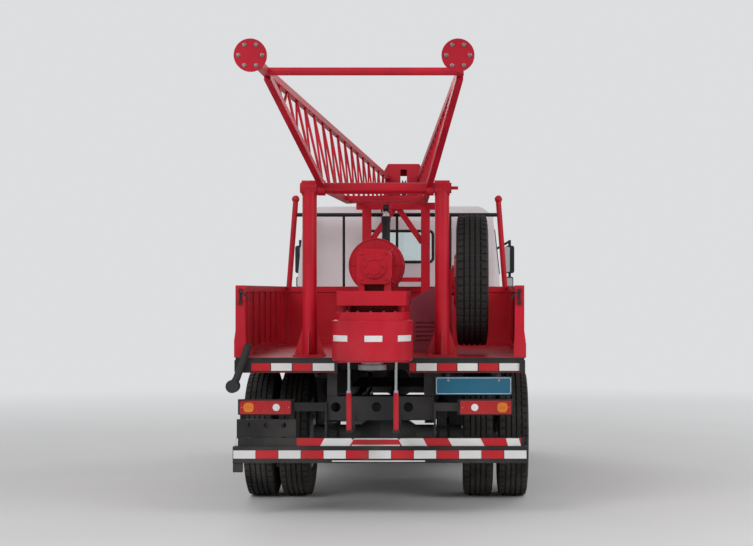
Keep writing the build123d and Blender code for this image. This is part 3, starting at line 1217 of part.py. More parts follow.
def winch_table():
    """Stand on the bed with the overhanging table, gearbox and guide pillars."""
    stand_half, leg = 180, 50
    back_y, y1 = 80, TABLE_Y1 - 60
    solid = box(-stand_half - 20, stand_half + 20, back_y - 2, TABLE_Y1, FLOOR_Z, FLOOR_Z + 20)
    stand = box(-stand_half, stand_half, back_y, y1, FLOOR_Z, TABLE_Z0 + 10)
    stand -= box(-stand_half + leg, stand_half - leg, back_y + leg, y1 - leg, FLOOR_Z + 60,
                 TABLE_Z0 - 60)
    stand -= box(-stand_half + leg, stand_half - leg, back_y - 1, y1 + 1, FLOOR_Z + 70,
                 TABLE_Z0 - 110)
    table = box(-TABLE_HALF, TABLE_HALF, HOLE_Y - 150, TABLE_Y1, TABLE_Z0, TABLE_Z1)
    solid += stand + fillet(table.edges().filter_by(Axis.Z), 24)
    solid -= tube_y(0, WINCH_Y0 - MOVE_GAP, WINCH_Y1 + MOVE_GAP, WINCH_Z,
                    WINCH_FLANGE_R + MOVE_GAP)
    z0, z1 = GEARBOX_Z - GEARBOX_H / 2, GEARBOX_Z + GEARBOX_H / 2
    case = box(-GEARBOX_W / 2, GEARBOX_W / 2, -20, 225, z0, z1)
    solid += fillet(case.edges().filter_by(Axis.Y), GEARBOX_CORNER_R)
    solid += box(-110, 110, 0, 215, TABLE_Z1 - 2, z0 + 70) - box(
        -70, 70, -30, 160, TABLE_Z1, z0 + 30)
    solid += tube_y(0, -34, 0, GEARBOX_Z, 84)
    solid += tube_y(0, 200, WINCH_Y1 + 40, WINCH_Z, WINCH_SHAFT_R)
    bearing_y = WINCH_Y1 + MOVE_GAP
    solid += box(-70, 70, bearing_y, bearing_y + 50, TABLE_Z1 - 2, WINCH_Z)
    solid += tube_y(0, bearing_y, bearing_y + 50, WINCH_Z, 70)
    for side in (-1, 1):
        solid += tube_z(side * PILLAR_X, HOLE_Y, DRUM_Z1 - 255, TABLE_Z0 + 5, PILLAR_R)
        x = side * (PILLAR_X - 23)
        gusset = prism_x([(back_y, TABLE_Z0 + 1), (HOLE_Y - 80, TABLE_Z0 + 1),
                          (back_y, TABLE_Z0 - 180)], x - 8, x + 8)
        solid += gusset - tube_z(0, HOLE_Y, DRUM_Z0, TABLE_Z0, DRUM_R + MOVE_GAP)
    return Pos(RIG_X, 0, 0) * solid


def winch_drum():
    """Rope drum with two flanges, on its shaft behind the gearbox."""
    bore = WINCH_SHAFT_R + RUN_GAP
    y0, y1 = WINCH_Y0, WINCH_Y1
    drum = tube_y(RIG_X, y0, y1, WINCH_Z, WINCH_BARREL_R, bore)
    for y in (y0, y1 - WINCH_FLANGE_T):
        drum += tube_y(RIG_X, y, y + WINCH_FLANGE_T, WINCH_Z, WINCH_FLANGE_R, bore)
    return drum


def rotary_head():
    """The drum-shaped head, bored for its guide pillars and its spindle."""
    outline = [(SPINDLE_R + RUN_GAP, DRUM_Z0), (DRUM_R - 14, DRUM_Z0), (DRUM_R, DRUM_Z0 + 14),
               (DRUM_R, DRUM_Z1 - 60), (DRUM_R - 26, DRUM_Z1 - 52), (DRUM_R - 26, DRUM_Z1),
               (SPINDLE_R - 8, DRUM_Z1), (SPINDLE_R - 8, DRUM_Z1 - 40),
               (SPINDLE_R + RUN_GAP, DRUM_Z1 - 40)]
    drum = Pos(0, HOLE_Y, 0) * revolve(
        Plane.XZ * make_face(Polyline(*outline, close=True)), Axis.Z, 360)
    for side in (-1, 1):
        drum -= tube_z(side * PILLAR_X, HOLE_Y, DRUM_Z1 - 300, DRUM_Z1 + 10,
                       PILLAR_R + RUN_GAP)
    return Pos(RIG_X, 0, 0) * drum


def feed_rods():
    """Chrome rods of the two feed cylinders, screwed into the head's underside."""
    z0 = BARREL_Z0 + 8 + FEED_STROKE
    rods = [tube_z(RIG_X + side * FEED_X, HOLE_Y, z0, DRUM_Z0, ROD_R) for side in (-1, 1)]
    return together(*rods)


def feed_barrels():
    """Barrels with their glands, each on its own bracket from the rear crossmember."""
    front = RAIL_Y0 - RAIL_T
    z1 = BARREL_Z1 + GLAND_H
    arms = []
    for side in (-1, 1):
        x = RIG_X + side * FEED_X
        barrel = tube_z(x, HOLE_Y, BARREL_Z0 - BRACKET_T, BARREL_Z1, BARREL_R)
        barrel += tube_z(x, HOLE_Y, BARREL_Z1 - 4, z1, BARREL_R - 3)
        barrel -= tube_z(x, HOLE_Y, BARREL_Z0 + 7, z1 + 1, ROD_R + RUN_GAP)
        half = BRACKET_W / 2
        barrel += box(x - half, x + half, HOLE_Y - half, front, BARREL_Z0 - BRACKET_T, BARREL_Z0)
        barrel += box(x - half, x + half, front - 12, front, BARREL_Z0 - BRACKET_T,
                      RAIL_Z0 + 60)
        arms.append(barrel)
    return together(*arms)


def spindle():
    """Hollow spindle with its rod socket below the head."""
    z0, z1 = DRUM_Z0 - SPINDLE_DROP, DRUM_Z1 - 40.5
    solid = tube_z(RIG_X, HOLE_Y, z0, z1, SPINDLE_R)
    solid += tube_z(RIG_X, HOLE_Y, z0, z0 + 36, SPINDLE_R + 22)
    return solid - tube_z(RIG_X, HOLE_Y, z0 - 1, z0 + SOCKET_L, SPINDLE_BORE_R)


def cylinder_barrel():
    """Mast cylinder's barrel, on a pin in a foot bracket."""
    y, z = CYL_FOOT_Y, CYL_FOOT_Z
    solid = tube_z(RIG_X, y, z + 10, CYL_HEAD_Z, CYL_R)
    solid += tube_z(RIG_X, y, CYL_HEAD_Z - 50, CYL_HEAD_Z - 6, CYL_R + 5)
    solid += tube_x(RIG_X - CYL_R, RIG_X + CYL_R, y, z, CYL_R + 4)
    solid -= tube_x(RIG_X - 40, RIG_X + 40, y, z, CYL_PIN_R + RUN_GAP)
    return solid - tube_z(RIG_X, y, z + 60, CYL_EYE_Z, CYL_R - CYL_STAGE_T)


def cylinder_stage(number):
    """A moving stage, counted from 1; the last is a plain rod with the eye."""
    radius = CYL_R - number * (CYL_STAGE_T + RUN_GAP)
    z0 = CYL_FOOT_Z + 60 + 6 * number
    z1 = CYL_HEAD_Z + 14 * number
    if number == CYL_STAGES:
        solid = tube_z(RIG_X, CYL_EYE_Y, z0, CYL_EYE_Z - 10, radius)
        return solid + tube_x(RIG_X - 22, RIG_X + 22, CYL_EYE_Y, CYL_EYE_Z, CYL_EYE_R)
    stage = tube_z(RIG_X, CYL_EYE_Y, z0, z1, radius)
    return stage - tube_z(RIG_X, CYL_EYE_Y, z0 + 5, z1 + 1, radius - CYL_STAGE_T)


def cylinder_foot():
    """Clevis and pin on the bed for the mast cylinder."""
    x, y = RIG_X, CYL_FOOT_Y
    foot = box(x - 70, x + 70, y - 70, y + 70, FLOOR_Z, FLOOR_Z + 14)
    for side in (-1, 1):
        x0, x1 = sorted((x + side * (CYL_R + MOVE_GAP), x + side * (CYL_R + MOVE_GAP + CLEVIS_T)))
        foot += box(x0, x1, y - 40, y + 40, FLOOR_Z, CYL_FOOT_Z + 40)
    return foot + tube_x(x - 54, x + 54, y, CYL_FOOT_Z, CYL_PIN_R)


def power_pack():
    """Sheet-metal hood over the rig's pump, with sloping shoulders and a louvred end."""
    z0, top = FLOOR_Z + 20, PACK_TOP_Z
    outline = [(PACK_X0, z0), (PACK_X1, z0), (PACK_X1, top), (PACK_X1 - 110, top),
               (PACK_X0, top - 120)]
    hood = prism_y(outline, PACK_Y0, PACK_Y1)
    hood = fillet(hood.edges().filter_by(Axis.Y).sort_by(Axis.Z)[-3:], 22)
    for i in range(PACK_LOUVRES):
        z = z0 + 60 + 34 * i
        hood -= box(PACK_X0 + 50, PACK_X1 - 50, PACK_Y0 - 1, PACK_Y0 + 12, z, z + 14)
    return hood + box(PACK_X0 - 20, PACK_X1 + 20, PACK_Y0 - 20, PACK_Y1 + 20, FLOOR_Z, z0)


def build():
    """Write every piece of the rig."""
    os.makedirs("parts", exist_ok=True)
    write("chassis_frame", chassis_frame())
    write("driveline", together(driveline(), muffler()))
    write("rear_axle", rear_axle())
    write("front_axle", front_axle())
    springs = [leaf_pack(REAR_SPRING_X, REAR_AXLE_Y), leaf_pack(FRONT_SPRING_X, FRONT_AXLE_Y)]
    write("leaf_springs", together(*springs, *[mirrored(s) for s in springs]))
    write("fuel_tank", fuel_tank())
    write("battery_box", battery_box())
    write("bed_floor", bed_floor() + cylinder_foot())
    write("headboard", headboard())
    back, roof, front, sides, door, glass, door_glass = cab_panels()
    write("cab_back", back)
    write("cab_roof", roof)
    write("cab_front", front)
    write("cab_sides", sides)
    write("cab_glass", together(glass))
    write("cab_floor", cab_floor())
    write("seats", both(seat(SEAT_OUT_X - SEAT_W, SEAT_OUT_X)))
    write("dashboard", dashboard())
    write("front_bumper", together(front_bumper(), head_lamps()))
    write("mirrors", both(mirrors()))
    write("guards", both(together(mudguards(), side_guards())))
    write("underrun_bar", underrun_bar())
    write("tail_lamps", tail_lamps())
    write("rear_plate", rear_plate())
    write("marker_lamp", marker_lamp())
    write("spare_tyre", spare_tyre())
    write("spare_rim", spare_rim())
    write("gantry_posts", gantry_posts())
    write("pivot_tube", pivot_tube())
    write("mast_rest", mast_rest())
    write("winch_table", winch_table())
    write("feed_barrels", feed_barrels())
    write("power_pack", power_pack())
    write("cylinder_barrel", cylinder_barrel())
    for number in range(1, CYL_STAGES + 1):
        write(f"cylinder_stage_{number}", cylinder_stage(number))
    write("winch_drum", winch_drum())
    write("rotary_head", rotary_head())
    write("feed_rods", feed_rods())
    write("spindle", spindle())
    write("crown_sheave", crown_sheave())
    write("mast_cross", Pos(RIG_X, 0, 0) * together(mast_cross(), mast_crown()))
    truss = mast_truss()
    board = side_board()
    for name, side in SIDES:
        write(f"mast_truss_{name}", Pos(RIG_X, 0, 0) * on_side(truss, side))
        write(f"side_board_{name}", on_side(board, side))
        write(f"door_{name}", on_side(door, side))
        write(f"door_glass_{name}", on_side(door_glass, side))
        write(f"knuckle_{name}", on_side(knuckle(), side))
        twins = together(tyre(TWIN_OUTER_X, REAR_AXLE_Y), tyre(TWIN_INNER_X, REAR_AXLE_Y))
        write(f"rear_tyres_{name}", on_side(twins, side))
        write(f"rear_rims_{name}", on_side(rear_rims(), side))
        write(f"front_tyre_{name}", on_side(tyre(FRONT_TYRE_X, FRONT_AXLE_Y), side))
        write(f"front_rim_{name}", on_side(front_rim(), side))


build()
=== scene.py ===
"""Finish and fittings of a truck-mounted drilling rig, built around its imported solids.

Metres, in the part's frame. The pieces' places are written with y measured from the rear edge of
the bed, as the rig's own drawing has them; spot() turns them into the part's frame.
"""

from collections import namedtuple
from math import cos, exp, pi, radians, sin

import bmesh
import bpy
from bpy.props import FloatProperty, FloatVectorProperty, IntProperty, PointerProperty
from mathutils import Matrix, Vector


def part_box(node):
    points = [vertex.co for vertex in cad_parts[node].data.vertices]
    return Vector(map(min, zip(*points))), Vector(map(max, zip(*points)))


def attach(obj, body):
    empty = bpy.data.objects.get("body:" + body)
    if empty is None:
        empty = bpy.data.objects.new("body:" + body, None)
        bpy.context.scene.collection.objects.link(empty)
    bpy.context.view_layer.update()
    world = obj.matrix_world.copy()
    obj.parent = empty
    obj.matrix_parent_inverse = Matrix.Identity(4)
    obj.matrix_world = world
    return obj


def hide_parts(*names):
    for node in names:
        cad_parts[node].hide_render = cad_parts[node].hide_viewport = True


bl_info = {
    "name": "Truck-mounted drilling rig",
    "version": (1, 0, 0),
    "blender": (4, 5, 0),
    "location": "View3D > Sidebar > Drilling rig",
    "description": "Finish, tyres, lamps and fittings of a truck-mounted drilling rig",
    "category": "Object",
}

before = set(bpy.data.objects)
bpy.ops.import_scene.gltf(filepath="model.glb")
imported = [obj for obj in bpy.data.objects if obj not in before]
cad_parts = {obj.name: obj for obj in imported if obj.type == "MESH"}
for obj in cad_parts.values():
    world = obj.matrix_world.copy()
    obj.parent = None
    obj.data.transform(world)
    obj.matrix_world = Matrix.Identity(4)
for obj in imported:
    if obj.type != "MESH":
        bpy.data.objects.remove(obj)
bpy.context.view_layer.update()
BED_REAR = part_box("bed_floor")[0].y
SIDES = (("left", -1), ("right", 1))
ENDS = (-1, 1)
RIG_X = -0.040
X, Y, Z = Vector((1, 0, 0)), Vector((0, 1, 0)), Vector((0, 0, 1))
# Least size that a fitting can be given
LEAST = 0.0005


# Sizes and colours that a user would change

class RigColours(bpy.types.PropertyGroup):
    """Colours of the rig's finishes."""

    def paint(name, text, value):
        return FloatVectorProperty(
            name=name, description=text, subtype="COLOR", size=3, min=0, max=1, default=value)

    red_paint: paint("Rig red", "Enamel on the bed, winch and head", (0.56, 0.008, 0.026))
    # The hood's paler red is a painted sheen: the light its top catches, painted into the colour
    red_faded: paint("Hood red, painted sheen", "Enamel on the hood, paled as a painted sheen", (0.62, 0.15, 0.23))
    red_mast: paint("Mast red", "Enamel on the mast", (0.55, 0.010, 0.030))
    white_cab: paint("Cab white", "Enamel on the cab", (0.80, 0.785, 0.82))
    black_frame: paint("Frame black", "Chassis paint", (0.022, 0.022, 0.025))
    black_plastic: paint("Black plastic", "Plastic and rubber trim", (0.028, 0.028, 0.031))
    tyre_rubber: paint("Tyre rubber", "Tread and walls", (0.024, 0.023, 0.023))
    rim_paint: paint("Rim silver", "Paint on the disc wheels", (0.42, 0.42, 0.43))
    cast_grey: paint("Casting grey", "Axles, engine and gearbox", (0.13, 0.13, 0.135))
    chrome_rod: paint("Chrome", "Feed rods and cylinder stages", (0.80, 0.80, 0.82))
    steel: paint("Bare steel", "Nuts, pins and straps", (0.42, 0.42, 0.44))
    window_glass: paint("Window glass", "Tint of the glazing", (0.80, 0.86, 0.86))
    mirror_glass: paint("Mirror glass", "Silvering of the mirrors", (0.70, 0.72, 0.75))
    lamp_red: paint("Red lens", "Stop and tail lenses", (0.55, 0.008, 0.012))
    lamp_amber: paint("Amber lens", "Turn signal lenses", (0.80, 0.22, 0.01))
    lamp_clear: paint("Clear lens", "Reversing and head lamps", (0.82, 0.83, 0.84))
    strip_white: paint("White strip", "White reflective sheeting", (0.80, 0.80, 0.80))
    strip_red: paint("Red strip", "Red reflective sheeting", (0.58, 0.010, 0.020))
    plate_blue: paint("Plate blue", "The blank number plate", (0.009, 0.130, 0.225))
    seat_cloth: paint("Seat cloth", "Woven covers of the seats", (0.085, 0.085, 0.10))
    worn_edge: paint("Worn edge", "Primer under rubbed paint", (0.20, 0.17, 0.16))
    dust: paint("Road dust", "Dust on the lower parts", (0.30, 0.26, 0.225))
    floor: paint("Floor", "The pale floor and backdrop", (0.72, 0.73, 0.745))


class RigSizes(bpy.types.PropertyGroup):
    """Sizes of the fittings."""

    def length(name, text, value):
        return FloatProperty(name=name, description=text, unit="LENGTH", min=LEAST, default=value)

    tread_depth: length("Tread depth", "Depth of the grooves in the tyres", 0.013)
    nut_size: length("Wheel nut", "Across the flats of a wheel nut", 0.030)
    bolt_size: length("Bolt", "Across the flats of a common bolt", 0.020)
    strip_thick: length("Strip", "Thickness of the reflective sheeting", 0.0012)
    seal_radius: length("Seal", "Radius of the windows' rubber seals", 0.013)
    tread_pitches: IntProperty(
        name="Tread pitches", description="Blocks round a tyre", min=12, max=90, default=52)
    wheel_nuts: IntProperty(
        name="Wheel nuts", description="Nuts on each disc wheel", min=4, max=16, default=8)


def colours():
    return bpy.context.scene.rig_colours


def sizes():
    return bpy.context.scene.rig_sizes


# Finishes

Look = namedtuple("Look", "rough metal coat shade bump bump_scale wear dust")
LOOKS = {
    "red_paint": Look(0.36, 0.0, 0.10, 0.20, 0.05, 45, 0.60, 0.14),
    # The hood's look: its paler red is a painted sheen, not a worn paint
    "red_faded": Look(0.48, 0.0, 0.04, 0.24, 0.06, 45, 0.50, 0.20),
    "red_mast": Look(0.40, 0.0, 0.06, 0.24, 0.06, 55, 0.70, 0.10),
    "white_cab": Look(0.44, 0.0, 0.06, 0.07, 0.02, 12, 0.12, 0.16),
    "black_frame": Look(0.50, 0.0, 0.05, 0.30, 0.08, 60, 0.45, 0.16),
    "black_plastic": Look(0.50, 0.0, 0.0, 0.20, 0.08, 420, 0.20, 0.10),
    "tyre_rubber": Look(0.80, 0.0, 0.0, 0.28, 0.12, 160, 0.0, 0.20),
    "rim_paint": Look(0.40, 0.25, 0.10, 0.20, 0.06, 70, 0.60, 0.25),
    "cast_grey": Look(0.66, 0.35, 0.0, 0.35, 0.25, 180, 0.45, 0.25),
    "chrome_rod": Look(0.09, 1.0, 0.0, 0.06, 0.02, 260, 0.0, 0.03),
    "steel": Look(0.34, 0.95, 0.0, 0.24, 0.08, 150, 0.35, 0.12),
    "mirror_glass": Look(0.02, 1.0, 0.0, 0.03, 0.0, 60, 0.0, 0.02),
    "lamp_red": Look(0.12, 0.0, 0.80, 0.18, 0.03, 200, 0.0, 0.04),
    "lamp_amber": Look(0.12, 0.0, 0.80, 0.18, 0.03, 200, 0.0, 0.04),
    "lamp_clear": Look(0.10, 0.0, 0.80, 0.10, 0.03, 200, 0.0, 0.04),
    "strip_white": Look(0.30, 0.0, 0.30, 0.12, 0.12, 620, 0.0, 0.08),
    "strip_red": Look(0.30, 0.0, 0.30, 0.18, 0.12, 620, 0.0, 0.08),
    "plate_blue": Look(0.32, 0.0, 0.35, 0.14, 0.03, 60, 0.30, 0.08),
    "seat_cloth": Look(0.92, 0.0, 0.0, 0.32, 0.30, 900, 0.0, 0.03),
}
# Solids by finish; a name that ends in * has a left and a right one
NODE_LOOKS = {
    "red_paint": "bed_floor headboard gantry_posts mast_rest winch_table winch_drum rotary_head "
                 "feed_barrels side_board_* pivot_tube",
    # The hood gets the paler red of the painted sheen
    "red_faded": "power_pack",
    "red_mast": "mast_truss_* mast_cross",
    "white_cab": "cab_back cab_roof cab_front cab_sides door_* front_bumper",
    "black_frame": "chassis_frame leaf_springs fuel_tank battery_box cylinder_barrel underrun_bar",
    "black_plastic": "cab_floor dashboard mirrors guards marker_lamp seats",
    "tyre_rubber": "spare_tyre front_tyre_* rear_tyres_*",
    "rim_paint": "spare_rim front_rim_* rear_rims_*",
    "cast_grey": "driveline rear_axle front_axle knuckle_* crown_sheave",
    "chrome_rod": "feed_rods cylinder_stage_1 cylinder_stage_2 cylinder_stage_3",
    "steel": "spindle",
    "lamp_red": "tail_lamps",
    "plate_blue": "rear_plate",
    "window_glass": "cab_glass door_glass_*",
}
# Faces of one node that have a finish of their own: node, low corner, high corner, finish
PATCHES = (
    ("headboard", (-0.86, 2.90, 1.645), (0.86, 3.05, 2.60), "black_frame"),
    ("front_bumper", (-0.90, 4.98, 0.570), (-0.54, 5.1085, 0.755), "black_plastic"),
    ("front_bumper", (0.54, 4.98, 0.570), (0.90, 5.1085, 0.755), "black_plastic"),
    ("feed_barrels", (-0.30, -0.30, 0.8935), (0.30, 0.10, 0.92), "chrome_rod"),
    ("front_bumper", (-0.935, 4.80, 0.435), (0.935, 5.0815, 0.795), "black_frame"),
    ("driveline", (-0.60, 1.70, 0.40), (-0.10, 3.30, 0.67), "steel"),
    ("guards", (0.93, 1.80, 0.40), (1.10, 3.60, 1.10), "black_frame"),
    ("guards", (-1.10, 1.80, 0.40), (-0.93, 3.60, 1.10), "black_frame"),
    ("spare_rim", (0.40, 0.30, 1.10), (0.5625, 1.00, 1.90), "red_paint"),
    ("rear_plate", (0.30, 0.0179, 0.80), (1.00, 0.060, 1.10), "black_frame"),
    ("bed_floor", (-0.12, 1.68, 1.129), (0.04, 1.84, 1.30), "black_frame"),
    ("bed_floor", (-0.986, 0.03, 0.80), (0.986, 2.97, 1.1145), "black_frame"),
    ("feed_barrels", (-0.30, -0.194, 0.60), (0.30, 0.10, 0.80), "black_frame"),
    ("feed_barrels", (-0.30, -0.30, 0.60), (0.30, 0.10, 0.6385), "black_frame"),
    ("chassis_frame", (-0.40, 0.07, 0.60), (0.40, 0.0905, 0.90), "black_plastic"),
    ("cylinder_stage_3", (-0.14, 1.66, 2.215), (0.06, 1.86, 2.40), "black_frame"),
    ("cab_front", (-0.58, 5.00, 1.03), (0.58, 5.044, 1.40), "black_plastic"),
)
PAINT_SHINE, COAT_ROUGH = 0.24, 0.12
# Noises of a finish: scale, detail, then the low and high value that its effect runs between
SHADE_NOISE = (2.3, 4.0, 0.38, 0.64)
ROUGH_NOISE = (2.3, 4.0, 0.30, 0.70)
DUST_NOISE = (3.5, 8.0, 0.36, 0.70)
CHIP_NOISE = (32.0, 8.0, 0.50, 0.62)
FILM_NOISE = (5.0, 6.0, 0.35, 0.75)
FLOOR_NOISE = (0.9, 6.0, 0.35, 0.70)
BUMP_DETAIL, BUMP_DEPTH = 3.0, 0.0015
SMOOTHER, ROUGHER = 0.86, 1.18
# Dust thins out between these two heights, down to a share of itself
DUST_Z, DUST_LEAST, DUST_ROUGH = (0.25, 1.70), 0.10, 0.85
# An edge is worn where the rounded normal turns away from the flat one: from and to, as cosines
EDGE_ROUND, EDGE_TURN, WORN_ROUGH = 0.0035, (0.985, 0.90), 0.70
FILM_MOST, GLASS_IOR = 0.025, 1.45


def add_node(tree, kind, inputs=None, **settings):
    """A shader node with its settings, its inputs set or joined."""
    made = tree.nodes.new("ShaderNode" + kind)
    for key, value in settings.items():
        setattr(made, key, value)
    for key, value in (inputs or {}).items():
        if isinstance(value, bpy.types.NodeSocket):
            tree.links.new(value, made.inputs[key])
        else:
            made.inputs[key].default_value = value
    return made


def mix_colour(tree, share, first, second):
    return add_node(tree, "Mix", {0: share, 6: first, 7: second}, data_type="RGBA").outputs[2]


def mix_value(tree, share, first, second):
    return add_node(tree, "Mix", {0: share, 2: first, 3: second}).outputs[0]


def map_range(tree, value, low, high, to_low=0.0, to_high=1.0):
    made = add_node(tree, "MapRange", {0: value, 1: low, 2: high, 3: to_low, 4: to_high})
    return made.outputs[0]


def multiply(tree, first, second):
    return add_node(tree, "Math", {0: first, 1: second}, operation="MULTIPLY").outputs[0]


def noise(tree, place, scale, detail):
    made = add_node(tree, "TexNoise", {"Vector": place, "Scale": scale, "Detail": detail})
    return made.outputs[0]


def patchy(tree, place, row, to_low=0.0, to_high=1.0):
    """A noise of (scale, detail, low, high), spread over a range."""
    scale, detail, low, high = row
    return map_range(tree, noise(tree, place, scale, detail), low, high, to_low, to_high)


def blank_material(name):
    """A material with its node tree, shader and the object's own coordinates."""
    material = bpy.data.materials.new(name)
    material.use_nodes = True
    tree = material.node_tree
    place = add_node(tree, "TexCoord").outputs["Object"]
    return material, tree, tree.nodes["Principled BSDF"], place


def opaque_finish(name, look, colour):
    """Paint, rubber or metal: shaded colour, dust low down, worn edges, fine bump."""
    material, tree, shader, place = blank_material(name)
    dark = (*[c * (1 - look.shade) for c in colour], 1)
    surface = mix_colour(tree, patchy(tree, place, SHADE_NOISE), dark, (*colour, 1))
    height = add_node(tree, "SeparateXYZ", {0: place}).outputs[2]
    low_down = map_range(tree, height, *DUST_Z, 1.0, DUST_LEAST)
    clumps = patchy(tree, place, DUST_NOISE)
    dusty = multiply(tree, multiply(tree, low_down, clumps), look.dust)
    surface = mix_colour(tree, dusty, surface, (*colours().dust, 1))
    rough = patchy(tree, place, ROUGH_NOISE, look.rough * SMOOTHER,
                   min(1.0, look.rough * ROUGHER))
    rounded_normal = add_node(tree, "Bevel", {"Radius": EDGE_ROUND}, samples=4).outputs[0]
    if look.wear:
        true_normal = add_node(tree, "NewGeometry").outputs["Normal"]
        turn = add_node(tree, "VectorMath", {0: rounded_normal, 1: true_normal},
                        operation="DOT_PRODUCT").outputs["Value"]
        chips = patchy(tree, place, CHIP_NOISE)
        worn = multiply(tree, multiply(tree, map_range(tree, turn, *EDGE_TURN), chips),
                        look.wear)
        surface = mix_colour(tree, worn, surface, (*colours().worn_edge, 1))
        rough = mix_value(tree, worn, rough, WORN_ROUGH)
    tree.links.new(surface, shader.inputs["Base Color"])
    tree.links.new(mix_value(tree, dusty, rough, DUST_ROUGH), shader.inputs["Roughness"])
    normal = rounded_normal
    if look.bump:
        grain = noise(tree, place, look.bump_scale, BUMP_DETAIL)
        normal = add_node(tree, "Bump", {"Strength": look.bump, "Distance": BUMP_DEPTH,
                                         "Height": grain, "Normal": normal}).outputs[0]
    tree.links.new(normal, shader.inputs["Normal"])
    shader.inputs["Metallic"].default_value = look.metal
    if not look.metal:
        shader.inputs["Specular IOR Level"].default_value = PAINT_SHINE
    shader.inputs["Coat Weight"].default_value = look.coat
    shader.inputs["Coat Roughness"].default_value = COAT_ROUGH
    return material


def glass_finish(name, colour):
    """Clear glazing with a faint film of dust."""
    material, tree, shader, place = blank_material(name)
    film = patchy(tree, place, FILM_NOISE, 0.0, FILM_MOST)
    tint = mix_colour(tree, film, (*colour, 1), (*colours().dust, 1))
    tree.links.new(tint, shader.inputs["Base Color"])
    tree.links.new(film, shader.inputs["Roughness"])
    shader.inputs["Transmission Weight"].default_value = 1.0
    shader.inputs["IOR"].default_value = GLASS_IOR
    return material


def finish(name):
    """The material of that name, made when it is first asked for."""
    full_name = f"rig {name}"
    made = bpy.data.materials.get(full_name)
    if made is None:
        colour = tuple(getattr(colours(), name))
        if name in LOOKS:
            made = opaque_finish(full_name, LOOKS[name], colour)
        else:
            made = glass_finish(full_name, colour)
    return made


# Shapes

# A hexagon head, as shares of its size across the flats
HEAD_H, HEX_R, WASHER_H, WASHER_R = 0.60, 0.577, 0.12, 0.85
SQUARE = ((-1, -1), (1, -1), (1, 1), (-1, 1))
# Steps round a wheel, a thin rod, a hexagon or the thinnest rod, a washer, a stud and the floor
FINE, COARSE, HEXAGON, WASHER, STUD, FLOOR_STEPS = 64, 8, 6, 16, 10, 96
# Edge rounding of thin sheet and of the seats' bases
SHEET_EDGE, BASE_EDGE = 0.0015, 0.004
# Angles in degrees: faces that meet below them shade as one; edges above CREASE are rounded
SHARP, SOFT, TREAD_ANGLE, PANEL_ANGLE, CREASE = 35, 60, 28, 50, 40
# Cosine above which a direction counts as upright
UPRIGHT = 0.9


def spot(x, y, z):
    """A point in the part's frame, from a place with y measured from the bed's rear edge."""
    return Vector((x, BED_REAR + y, z))


def loft(mesh, rings, looped=False):
    """Skin a row of closed rings that have the same number of points; cap it unless looped."""
    rows = [[mesh.verts.new(point) for point in ring] for ring in rings]
    pairs = list(zip(rows, rows[1:]))
    if looped:
        pairs.append((rows[-1], rows[0]))
    for low, high in pairs:
        for i in range(len(low)):
            j = (i + 1) % len(low)
            mesh.faces.new((low[i], low[j], high[j], high[i]))
    if not looped:
        mesh.faces.new(rows[0][::-1])
        mesh.faces.new(rows[-1])


def block(mesh, xs, ys, zs):
    """A block between two places on each axis."""
    corners = ((0, 0), (1, 0), (1, 1), (0, 1))
    loft(mesh, [[spot(xs[a], ys[b], z) for a, b in corners] for z in zs])


def prism(mesh, outline, low, high):
    """An outline of (x, z) points, extruded from one y to another."""
    loft(mesh, [[spot(x, y, z) for x, z in outline] for y in (low, high)])


def sideways(along):
    """Two directions across the one that is given."""
    first = along.cross(Z if abs(along.z) < UPRIGHT else X).normalized()
    return first, along.cross(first).normalized()


def spokes(along, steps):
    """Directions at even steps round an axis."""
    first, second = sideways(along)
    return [cos(2 * pi * i / steps) * first + sin(2 * pi * i / steps) * second
            for i in range(steps)]


def circle(centre, along, radius, steps):
    return [centre + radius * way for way in spokes(along, steps)]


def rod(mesh, start, end, radius, steps=20):
    """A round bar between two points of the part's frame."""
    along = (end - start).normalized()
    loft(mesh, [circle(at, along, radius, steps) for at in (start, end)])


def turned(mesh, outline, centre, along, steps=48):
    """An outline of (distance along, radius), turned about an axis through centre."""
    loft(mesh, [[centre + along * a + r * way for a, r in outline]
                for way in spokes(along, steps)], looped=True)


def sweep(mesh, path, radius, steps=8, looped=False, flat=1.0):
    """A round or flattened section carried along a path of points."""
    count = len(path)
    rings = []
    side = None
    for i, point in enumerate(path):
        before = path[i - 1] if i or looped else point
        after = path[(i + 1) % count] if i + 1 < count or looped else point
        along = (after - before).normalized()
        if side is None:
            side = sideways(along)[0]
        side = (side - along * side.dot(along)).normalized()
        up = along.cross(side)
        rings.append([point + radius * (cos(2 * pi * k / steps) * side
                                        + flat * sin(2 * pi * k / steps) * up)
                      for k in range(steps)])
    loft(mesh, rings, looped=looped)


def rounded(corners, radius, steps=5):
    """A closed path through corners, each turned into an arc of about that radius."""
    path = []
    count = len(corners)
    for i, corner in enumerate(corners):
        back = (corners[i - 1] - corner).normalized()
        on = (corners[(i + 1) % count] - corner).normalized()
        for k in range(steps + 1):
            share = k / steps
            path.append(corner + back * radius * (1 - share) ** 2 + on * radius * share ** 2)
    return path


def bead(mesh, corners, corner_r, radius, steps=8):
    """A round bead along a closed path with rounded corners."""
    sweep(mesh, rounded(corners, corner_r), radius, steps, looped=True)


def lens(mesh, x, z, width, height, radius, low, high):
    """A plate with rounded corners about a place, from one y to another."""
    corners = [spot(x + a * width / 2, 0, z + b * height / 2) for a, b in SQUARE]
    prism(mesh, [(p.x, p.z) for p in rounded(corners, radius, 4)], low, high)


def bolt(mesh, at, along, share, height=HEAD_H):
    """A hexagon head on its washer, its size as a share of the common bolt's."""
    size = sizes().bolt_size * share
    top = at + along * size * WASHER_H
    rod(mesh, at, top, size * WASHER_R, WASHER)
    rod(mesh, top, at + along * size * height, size * HEX_R, HEXAGON)


def bolt_ring(mesh, centre, along, radius, count, share):
    for point in circle(centre, along, radius, count):
        bolt(mesh, point, along, share)


